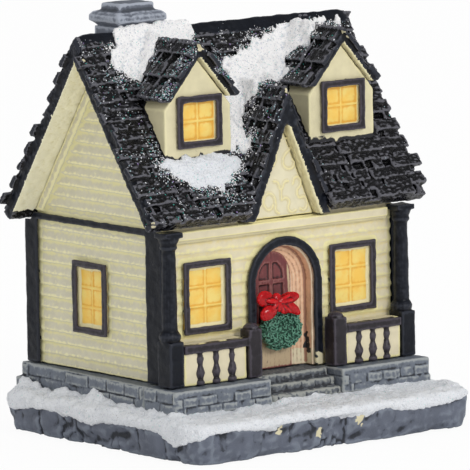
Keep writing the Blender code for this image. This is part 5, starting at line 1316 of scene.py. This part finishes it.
def spread(grid, take, reach):
    """Each cell takes the largest, smallest or average of itself and its neighbours."""
    rows, columns = grid.shape
    for _ in range(reach):
        padded = np.pad(grid, 1, mode="edge")
        grid = take([padded[1 + i : rows + 1 + i, 1 + j : columns + 1 + j] for i, j in BESIDE], axis=0)
    return grid


def swell_at(flat, run, rise, level):
    """Noise at each place of a plan, its waves as long as the run and the rise say."""
    return np.array([noise.noise(Vector((x / run, y / rise, level))) for x, y in flat])


def close_field(bm, cells, corner):
    """Faces above, below and round the rim of a field of cells."""
    for i, j in cells:
        ring = ((i, j), (i + 1, j), (i + 1, j + 1), (i, j + 1))
        bm.faces.new([corner(*c, 1) for c in ring])
        bm.faces.new([corner(*c, 0) for c in ring[::-1]])
        sides = ((i, j - 1), (i + 1, j), (i, j + 1), (i - 1, j))
        for a, b, beside in zip(ring, ring[1:] + ring[:1], sides):
            if beside not in cells:
                bm.faces.new([corner(*a, 1), corner(*a, 0), corner(*b, 0), corner(*b, 1)])


def cells_where(inside):
    """The cells whose four corners are inside."""
    rows, columns = inside.shape
    return {(i, j) for i in range(rows - 1) for j in range(columns - 1) if inside[i : i + 2, j : j + 2].all()}

# %% [markdown]
# ## Snow on the base
# The snow banks up against the bricks, which a flat crust can't show. Heaps could be modelled one by one, but
# it lies thickest where a wall shelters it, so a field of heights that falls off with the distance from the
# walls is added to the crust before it is cast. Heaps along the rim make it uneven there.

# %% Bank and heaps
FOOTPRINTS = (
    (-35.0, -13.5, 35.0, 33.2), (-35.2, -24.4, -8.4, -13.8), (10.0, -24.4, 35.2, -13.8), (-8.6, -24.6, 10.2, -10.4),
)
HEAPS = (
    ((37.2, -30.0, 7.8), (2.6, 4.5, 2.2)), ((37.6, -19.0, 7.4), (2.3, 6.5, 1.9)), ((33.0, -33.5, 7.6), (4.5, 2.8, 1.9)),
    ((-36.8, -33.0, 7.4), (2.6, 3.4, 1.7)), ((-37.6, -20.0, 7.2), (2.2, 6.0, 1.8)),
    ((-37.8, -4.0, 7.6), (2.0, 7.0, 2.2)),
    ((-37.6, 12.0, 7.5), (2.2, 6.0, 2.4)), ((-37.0, 28.0, 7.6), (2.6, 6.5, 2.3)),
    ((-20.0, -35.0, 7.0), (8.0, 2.0, 1.6)),
    ((8.0, -35.2, 7.0), (9.0, 1.8, 1.6)),
)
BANK_STEP, BANK_HEIGHT, SHELTER, ROUND_CORNER = 0.6, 3.2, 3.4, 7


def bank_solid():
    """Snow heaped against the foundation, porch and steps, thin towards the rim."""
    low, high = (np.array(corner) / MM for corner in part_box("base_snow"))
    xs, ys = (np.arange(low[i] + 1.6, high[i] - 1.4, BANK_STEP) for i in (0, 1))
    flat = np.array([(x, y) for x in xs for y in ys])
    away = np.full(len(flat), 99.0)
    for x0, y0, x1, y1 in FOOTPRINTS:
        gap = np.maximum(np.maximum(np.array((x0, y0)) - flat, flat - np.array((x1, y1))), 0)
        away = np.minimum(away, np.linalg.norm(gap, axis=1))
    heap = 0.6 + 0.9 * swell_at(flat, 9, 9, 2) + 0.35 * swell_at(flat, 2.2, 2.2, 5)
    side = np.where(flat[:, 0] < -34, 1.0, 0.6)
    middle, half = (low + high)[:2] / 2, (high - low)[:2] / 2 - 1.6
    beyond = np.maximum(np.abs(flat - middle) - half + ROUND_CORNER, 0)
    rim = ROUND_CORNER - np.linalg.norm(beyond, axis=1)
    fade = np.exp(-away / SHELTER) * np.clip(rim / 2.0, 0, 1)
    top = high[2] - 0.1 + BANK_HEIGHT * side * np.clip(heap, 0.2, 1.3) * fade
    shape = (len(xs), len(ys))
    top, away = top.reshape(shape), np.where(rim > 0, away, 0).reshape(shape)
    bm = bmesh.new()
    grid = [
        [[bm.verts.new(Vector((x, y, z)) * MM) for z in (high[2] - 0.6, top[i, j])] for j, y in enumerate(ys)]
        for i, x in enumerate(xs)
    ]
    inner = [(i, j) for i in range(shape[0] - 1) for j in range(shape[1] - 1)]
    cells = {(i, j) for i, j in inner if away[i : i + 2, j : j + 2].max() > 0}
    close_field(bm, cells, lambda i, j, level: grid[i][j][level])
    bmesh.ops.delete(bm, geom=[v for v in bm.verts if not v.link_faces], context="VERTS")
    return mesh_of(bm, "bank")


def low_relief(mesh, at, share):
    """Draws what lies below a level towards it."""
    for vertex in mesh.vertices:
        vertex.co.z = at + (vertex.co.z - at) * (1 if vertex.co.z > at else share(vertex.co))
    return mesh


crust = low_relief(solid_of(["base_snow"]), 8.6 * MM, lambda place: 0.55 if place.y < -30 * MM else 0.8)
heaps = [ball(place, radii) for place, radii in HEAPS]
mesh = skin(
    [crust, bank_solid(), *heaps], 0.38, "icy_snow", soften=4, seed=96, Lump_size=2.4, Lump_depth=0.45, Grain_size=0.9,
    Grain_depth=0.35, share=0.5,
)
place_piece("snow_on_base", mesh, "snow", "base_snow")
print("base snow", len(mesh.polygons), "faces")

# %% [markdown]
# ## Drifts
# Each drift lies on the finished shingles under it. Where a ray finds no roof, as over the chimney's hole, the
# plain slope of the roof stands in for it.

# %% Drifts on the roof
RIDGE_Y, RIDGE_Z, SLOPE = 5.7, 90.1, 1.5
DRIFT_STEP, DRIFT_THICKNESS = 0.3, 1.1


def drift_solid(outline, ground, heap):
    """A closed mesh of snow inside an outline, on the pieces of the ground, heaped along the ridge."""
    outline = np.array(outline, float)
    low, high = outline.min(0) - 1.5, outline.max(0) + 1.5
    xs, ys = (np.arange(low[i], high[i], DRIFT_STEP) for i in (0, 1))
    flat = np.array([(x, y) for x in xs for y in ys])
    depth = depth_inside(flat, outline) + (0.8 * swell_at(flat, 2.6, 2.0, 1) + 0.7 * swell_at(flat, 0.7, 0.5, 7))
    heights = []
    for x, y in flat:
        hits = [roof.ray_cast(Vector((x, y, 120)) * MM, Vector((0, 0, -1)))[0] for roof in ground]
        heights.append(max((hit.z / MM for hit in hits if hit), default=RIDGE_Z - SLOPE * abs(y - RIDGE_Y)))
    shape = (len(xs), len(ys))
    depth, heights = depth.reshape(shape), np.array(heights).reshape(shape)
    clumps = swell_at(flat, 1.9, 1.4, 3).reshape(shape)
    along_ridge = np.array([heap * math.exp(-(((y - 5.4) / 1.7) ** 2)) for x, y in flat]).reshape(shape)
    full = (DRIFT_THICKNESS * (1 + 0.4 * clumps) + along_ridge) * (1 - np.exp(-np.clip(depth, 0, None) / 0.8))
    top = spread(spread(heights, np.max, 1), np.mean, 2) + full - 0.1
    bottom = spread(heights, np.min, 1) - 0.9
    bm = bmesh.new()
    corners = {}

    def corner(i, j, level):
        if (i, j, level) not in corners:
            z = (top if level else bottom)[i, j]
            corners[i, j, level] = bm.verts.new(Vector((xs[i], ys[j], max(z, bottom[i, j] + 0.2))) * MM)
        return corners[i, j, level]

    close_field(bm, cells_where(depth > 0), corner)
    return mesh_of(bm, "drift")


CHIMNEY_CRUMBS = [(-26.2 + 0.1 * i, 5.7, 86.0 + 1.3 * i, 0.75 - 0.05 * i) for i in range(6)]
BOTH_SLOPES = ("shingled_roof_front", "shingled_roof_back", "ridge_roll")
GROUNDS = {
    "snow_by_chimney": (*BOTH_SLOPES, "shingled_dormer_roof_left"),
    "snow_over_valley": (*BOTH_SLOPES, "shingled_gable_roof", "shingled_dormer_roof_right"),
    "snow_at_eave": ("shingled_roof_front",),
}
for number, (name, (outline, replaced, heap)) in enumerate(DRIFTS.items()):
    solids = [drift_solid(outline, [bvh(piece) for piece in GROUNDS[name]], heap)]
    if name == "snow_by_chimney":
        solids += [ball(place, (r, r, r), 2) for *place, r in CHIMNEY_CRUMBS]
    look = "icy_snow" if name == "snow_at_eave" else "snow"
    mesh = skin(
        solids, 0.26, look, seed=100 + number, Lump_size=2.4, Lump_depth=0.3, Grain_size=0.6, Grain_depth=0.16
    )
    place_piece(name, mesh, "snow", *replaced)
    print(name, len(mesh.polygons), "faces")

# %% [markdown]
# ## Slips of the brush
# Each colour strays over its neighbour: black from the trim on to the cream, yellow round the edges
# of the boards, and cream chips where a black edge was knocked. They are stored on each piece as distances
# from whatever lies beside it, so the slips follow the trim and needn't be drawn one by one.

# %% Slips beside the trim
for side in ("left", "right"):
    wall, beside = f"painted_{side}_wall", [f"painted_wall_trim_{side}", f"painted_window_frame_{side}_side"]
    near(wall, beside, 0.55)
    near(wall, beside, 1.6, "halo")
    near(f"painted_dormer_{side}", ["shingled_roof_front"], 0.75)
    near(f"painted_dormer_{side}", [f"painted_window_frame_dormer_{side}", f"shingled_dormer_roof_{side}"], 0.55)
    near(f"painted_parapet_{side}", [f"painted_balustrade_{side}"], 0.3)
front = ["painted_wall_trim_left", "painted_wall_trim_right", "painted_door_arch_frame"]
front += [n for n in pieces if "window_frame_front" in n]
near("painted_front_wall", front + ["painted_porch_column_left", "painted_porch_column_right"], 0.6)
near("painted_front_wall", front, 1.8, "halo")
near("painted_gable_wall", ["shingled_gable_roof"], 0.55)
mesh = pieces["painted_gable_wall"].data
left = numbers(mesh.vertices, "co", 3)[:, 0] < 0.8 * MM
keep(mesh, "stray_and_shade", numbers(mesh.attributes["stray_and_shade"].data, "value") * left)
for node in PANES:
    near("painted_" + node.replace("pane", "frame"), ["glowing_" + node], 0.42)
print("slips beside the trim stored")

# %% [markdown]
# Chips and drips follow nothing, so they are listed one by one: a few small balls, each with a wandering edge. One is
# painted shadow: the black drop under the pediment's apex, where the gable's tip shades the recess.

# %% Chips and drips


def spots(name, balls):
    """Stores slips of the brush, and a painted shadow, as balls: x, y, z and radius in millimetres."""
    place = numbers(pieces[name].data.vertices, "co", 3) / MM
    found = np.full(len(place), -9.0)
    for x, y, z, radius in balls:
        found = np.maximum(found, radius - np.linalg.norm(place - (x, y, z), axis=1))
    for i in np.flatnonzero(found > -0.7):
        found[i] += 0.6 * noise.noise(Vector(place[i]) / 0.6)
    raise_to(name, "stray_and_shade", np.maximum(found, 0))


PANE_DRIPS = (
    (-23.4, 26.7), (-21.8, 26.4), (-20.3, 26.3), (-18.9, 26.4), (-17.5, 26.6), (-16.3, 27.0), (-15.6, 28.0),
    (-15.3, 28.9),
)
ROCK_CHIPS = (
    (-16.1, 5.3, 1.7), (-15.0, 4.6, 1.2), (-12.4, 4.4, 1.1), (-5.3, 3.6, 1.5), (-4.8, 4.6, 1.3), (6.4, 5.6, 1.5),
    (6.9, 4.6, 1.1), (8.4, 2.0, 1.2),
)
MARKS_AND_SHADE = {
    # Painted shadow: this black drop under the pediment's apex stands for the shade in its recess.
    "painted_gable_wall": ((0.8, -17.3, 70.0, 1.8), (0.9, -17.3, 68.8, 1.0)),
    "glowing_window_pane_front_left": [(x, -16.2, z, 1.0) for x, z in PANE_DRIPS],
    "craggy_rock_base": [(x, -37.4, z, radius) for x, z, radius in ROCK_CHIPS],
    "shingled_gable_roof": (
        (0.4, -20.0, 77.9, 1.0), (-0.6, -20.0, 76.6, 0.8), (1.7, -20.0, 76.8, 0.9), (2.6, -20.0, 74.6, 0.6),
    ),
    "shingled_dormer_roof_right": ((20.9, -15.0, 88.9, 0.8), (22.2, -15.0, 88.0, 0.6)),
    "shingled_dormer_roof_left": ((-20.0, -15.0, 88.8, 0.9), (-19.0, -15.0, 88.2, 0.6)),
    "shingled_roof_front": (
        (-38.6, -21.6, 51.7, 0.9), (-39.2, 4.4, 90.0, 0.8), (-39.2, 1.8, 86.4, 0.7), (-39.2, -3.0, 78.6, 0.6),
    ),
    "painted_door_arch_frame": ((10.4, -18.2, 16.4, 1.6), (10.0, -18.4, 17.6, 0.9)),
    "painted_door_jamb": (
        (9.0, -15.3, 19.5, 1.2), (9.0, -15.5, 20.8, 1.0), (9.0, -15.9, 18.4, 1.0), (9.0, -15.1, 22.0, 0.8),
    ),
}
for name, balls in MARKS_AND_SHADE.items():
    spots(name, balls)
print("chips and drips on", len(MARKS_AND_SHADE), "pieces")

# %% [markdown]
# ## Glitter
# Craft glitter is punched from foil in six-sided flakes a quarter of a millimetre across. It is thickest on the snow
# and just round it, and thins out over the left half of the roof. Some flakes are silver, some teal and a few
# violet, which their "tint" decides.

# %% Glitter


def glitter_paint(name, silver, grey, teal, violet):
    """Foil whose flakes take one of four colours by their tint."""
    material, tree, surface = principled(name)
    tint = add(tree, "ShaderNodeAttribute", attribute_name="tint").outputs["Fac"]
    tone = mix(tree, between(tree, tint, 0.5, 0.51), rgba(silver), rgba(grey))
    tone = mix(tree, between(tree, tint, 0.76, 0.77), tone, rgba(teal))
    tone = mix(tree, between(tree, tint, 0.92, 0.93), tone, rgba(violet))
    plug(tree, surface.inputs["Base Color"], tone)
    surface.inputs["Metallic"].default_value = 0.5
    plug(tree, surface.inputs["Roughness"], maths(tree, "MULTIPLY_ADD", tint, 0.2, 0.25))
    return material


glitter = glitter_paint("glitter", (0.86, 0.88, 0.92), (0.45, 0.62, 0.68), (0.05, 0.42, 0.36), (0.42, 0.3, 0.62))
pale_glitter = glitter_paint(
    "pale_glitter", (0.97, 0.97, 0.98), (0.74, 0.79, 0.84), (0.50, 0.80, 0.76), (0.80, 0.72, 0.90)
)

bm = bmesh.new()
bmesh.ops.create_cone(bm, cap_ends=True, segments=6, radius1=1, radius2=1, depth=0.2)
flake = mesh_of(bm, "flake")


def away_from_snow(place):
    """How far points lie outside the drifts, in plan and in millimetres."""
    flat = place[:, :2] / MM
    return -np.max([depth_inside(flat, np.array(outline, float)) for outline, *_ in DRIFTS.values()], axis=0)


def roof_share(place, normal):
    """How densely flakes lie on a roof: round the drifts, thinning to the right, and in clumps."""
    away = np.clip(away_from_snow(place), 0, None)
    left = 1 / (1 + np.exp((place[:, 0] / MM - 2.0) / 2.5))
    share = np.where(place[:, 1] < 6 * MM, 1.2 * np.exp(-away / 2.0) + 0.15 * left + 0.01, 0.004)
    clumps = np.array([noise.noise(Vector(spot) / 0.004) for spot in place])
    return share, (normal[:, 2] > 0.1) * np.clip(0.7 + 2.2 * clumps, 0.1, 2.2)


def strew_glitter(name, density, size, seed):
    """Flakes on the piece: all over snow, and near the drifts on the roof."""
    mesh = pieces[name].data
    place, normal = points_of(mesh)
    amount = (normal[:, 2] > -0.3).astype(float)
    if not name.startswith("snow"):
        for share in roof_share(place, normal):
            amount *= share
    keep(mesh, "sparkle", amount)
    foil = pale_glitter if name.startswith("snow") else glitter
    flakes = strew(mesh, flake, foil, Density=density * 1e6, Size=size * MM, Tilt=0.7, Seed=seed)
    place_piece("glitter_" + name, flakes, "snow")
    print(name, len(flakes.polygons), "flake faces")


roofs = ("shingled_roof_front", "shingled_gable_roof", "shingled_dormer_roof_left", "shingled_dormer_roof_right")
for number, name in enumerate(roofs):
    strew_glitter(name, 3.4, 0.17, 200 + number)
for number, name in enumerate((*DRIFTS, "snow_on_base")):
    strew_glitter(name, 2.4 if name != "snow_on_base" else 0.9, 0.13, 300 + number)

# %% [markdown]
# The paste has no clean edge either: loose grains lie round each drift. They are small lumps of the same snow, strewn
# by the same tree, and fewer the further they are from the drift.

# %% Loose grains
GRAIN_REACH = 0.55
grain_of_snow = ball((0, 0, 0), (1000, 900, 700), 1)
for number, name in enumerate(("shingled_roof_front", "shingled_gable_roof", "shingled_dormer_roof_right")):
    mesh = pieces[name].data
    place, normal = points_of(mesh)
    away = away_from_snow(place)
    amount = np.exp(-np.clip(away, 0, None) / GRAIN_REACH)
    keep(mesh, "sparkle", amount * (away > -0.8) * (normal[:, 2] > 0.1) * (place[:, 1] < 0.005))
    grains = strew(mesh, grain_of_snow, snow, Density=4.5e6, Size=0.17 * MM, Tilt=0.8, Seed=400 + number)
    place_piece("snow_grains_" + name, grains, "snow")
    print(name, len(grains.polygons), "faces of grains")

# %% [markdown]
# ## The light unit underneath
# The underside holds a small moulded light unit. Its pieces are plain mouldings, so they keep their CAD shapes and
# are given plastics and steel with a fine grain, as an injection mould leaves.

# %% Light unit
LOOKS = {
    "white_plastic": ((0.82, 0.82, 0.8), 0.4, 0.0),
    "black_plastic": ((0.03, 0.03, 0.03), 0.4, 0.0),
    "steel": ((0.6, 0.6, 0.62), 0.3, 1.0),
}


def moulded(name, colour, roughness, metallic):
    material, tree, surface = principled(name)
    fine = speckle(tree, 0.3 * MM, 2.0)
    tone = mix(tree, speckle(tree, 6 * MM, 2.0), rgba(colour), rgba([c * 0.9 for c in colour]))
    plug(tree, surface.inputs["Base Color"], tone)
    plug(tree, surface.inputs["Roughness"], maths(tree, "MULTIPLY_ADD", fine, 0.2, roughness - 0.1))
    plug(tree, surface.inputs["Normal"], bumps(tree, fine, 0.02))
    surface.inputs["Metallic"].default_value = metallic
    return material


plastics = {name: moulded(name, *look) for name, look in LOOKS.items()}
UNIT = {
    "light_housing": "white_plastic", "battery_cover": "white_plastic", "switch_slider": "black_plastic",
    "cover_screw": "steel", "coin_cell": "steel", "contact_leaf": "steel", "led_lamp": "white_plastic",
}
for node, look in UNIT.items():
    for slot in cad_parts[node].material_slots:
        slot.material = plastics[look]
print("light unit:", len(UNIT), "mouldings in", len(plastics), "materials")
# %% [markdown]
# ## Light and floor
# The photo was taken in a white light tent with a soft lamp near the camera. A plain white world could stand for
# the tent, but it would turn the glossy blacks grey. So the world is full white where it is seen, dimmer as a
# light and dimmer still in the gloss. The floor is pale but keeps the shadow under the rock.

# %% Light
AMBIENT, MIRRORED = 0.84, 0.32
world = bpy.data.worlds.new("studio")
bpy.context.scene.world = world
world.use_nodes = True
tree = world.node_tree
tree.nodes.clear()
path = add(tree, "ShaderNodeLightPath").outputs
seen = maths(tree, "MAXIMUM", path["Is Camera Ray"], path["Is Transmission Ray"])
strength = maths(tree, "MULTIPLY_ADD", seen, 1.0 - AMBIENT, AMBIENT)
strength = maths(tree, "MULTIPLY_ADD", path["Is Glossy Ray"], MIRRORED - AMBIENT, strength)
add(tree, "ShaderNodeOutputWorld", add(tree, "ShaderNodeBackground", (1, 1, 1, 1), strength))

light = bpy.data.lights.new("key", "AREA")
light.shape, light.size, light.energy = "DISK", 0.5, 11
key = put("key", light)
key.location = (0.05, -1.7, 0.9)
key.rotation_euler = (AIM - Vector((0.05, -1.7, 0.9))).to_track_quat("-Z", "Y").to_euler()
print("world and lamp set")

# %% [markdown]
# The floor is seen as nearly white, and as a plain pale sheet by every other ray. It lies a hair's breadth
# below the rock's flat underside, because two faces in one plane flicker.

# %% Floor
bm = bmesh.new()
bmesh.ops.create_grid(bm, x_segments=1, y_segments=1, size=8.0)
floor = put("floor", mesh_of(bm, "floor"))
floor.location.z = -0.05 * MM
material = bpy.data.materials.new("floor")
material.use_nodes = True
tree = material.node_tree
tree.nodes.clear()
camera_ray = add(tree, "ShaderNodeLightPath").outputs["Is Camera Ray"]
diffuse = add(tree, "ShaderNodeBsdfDiffuse", (0.9, 0.9, 0.9, 1))
white = add(tree, "ShaderNodeEmission", (1, 1, 1, 1), 1.0)
seen = maths(tree, "MULTIPLY", camera_ray, 0.93)
add(tree, "ShaderNodeOutputMaterial", add(tree, "ShaderNodeMixShader", seen, diffuse, white))
floor.data.materials.append(material)
bpy.context.scene.view_settings.view_transform = "Standard"
print("floor laid")
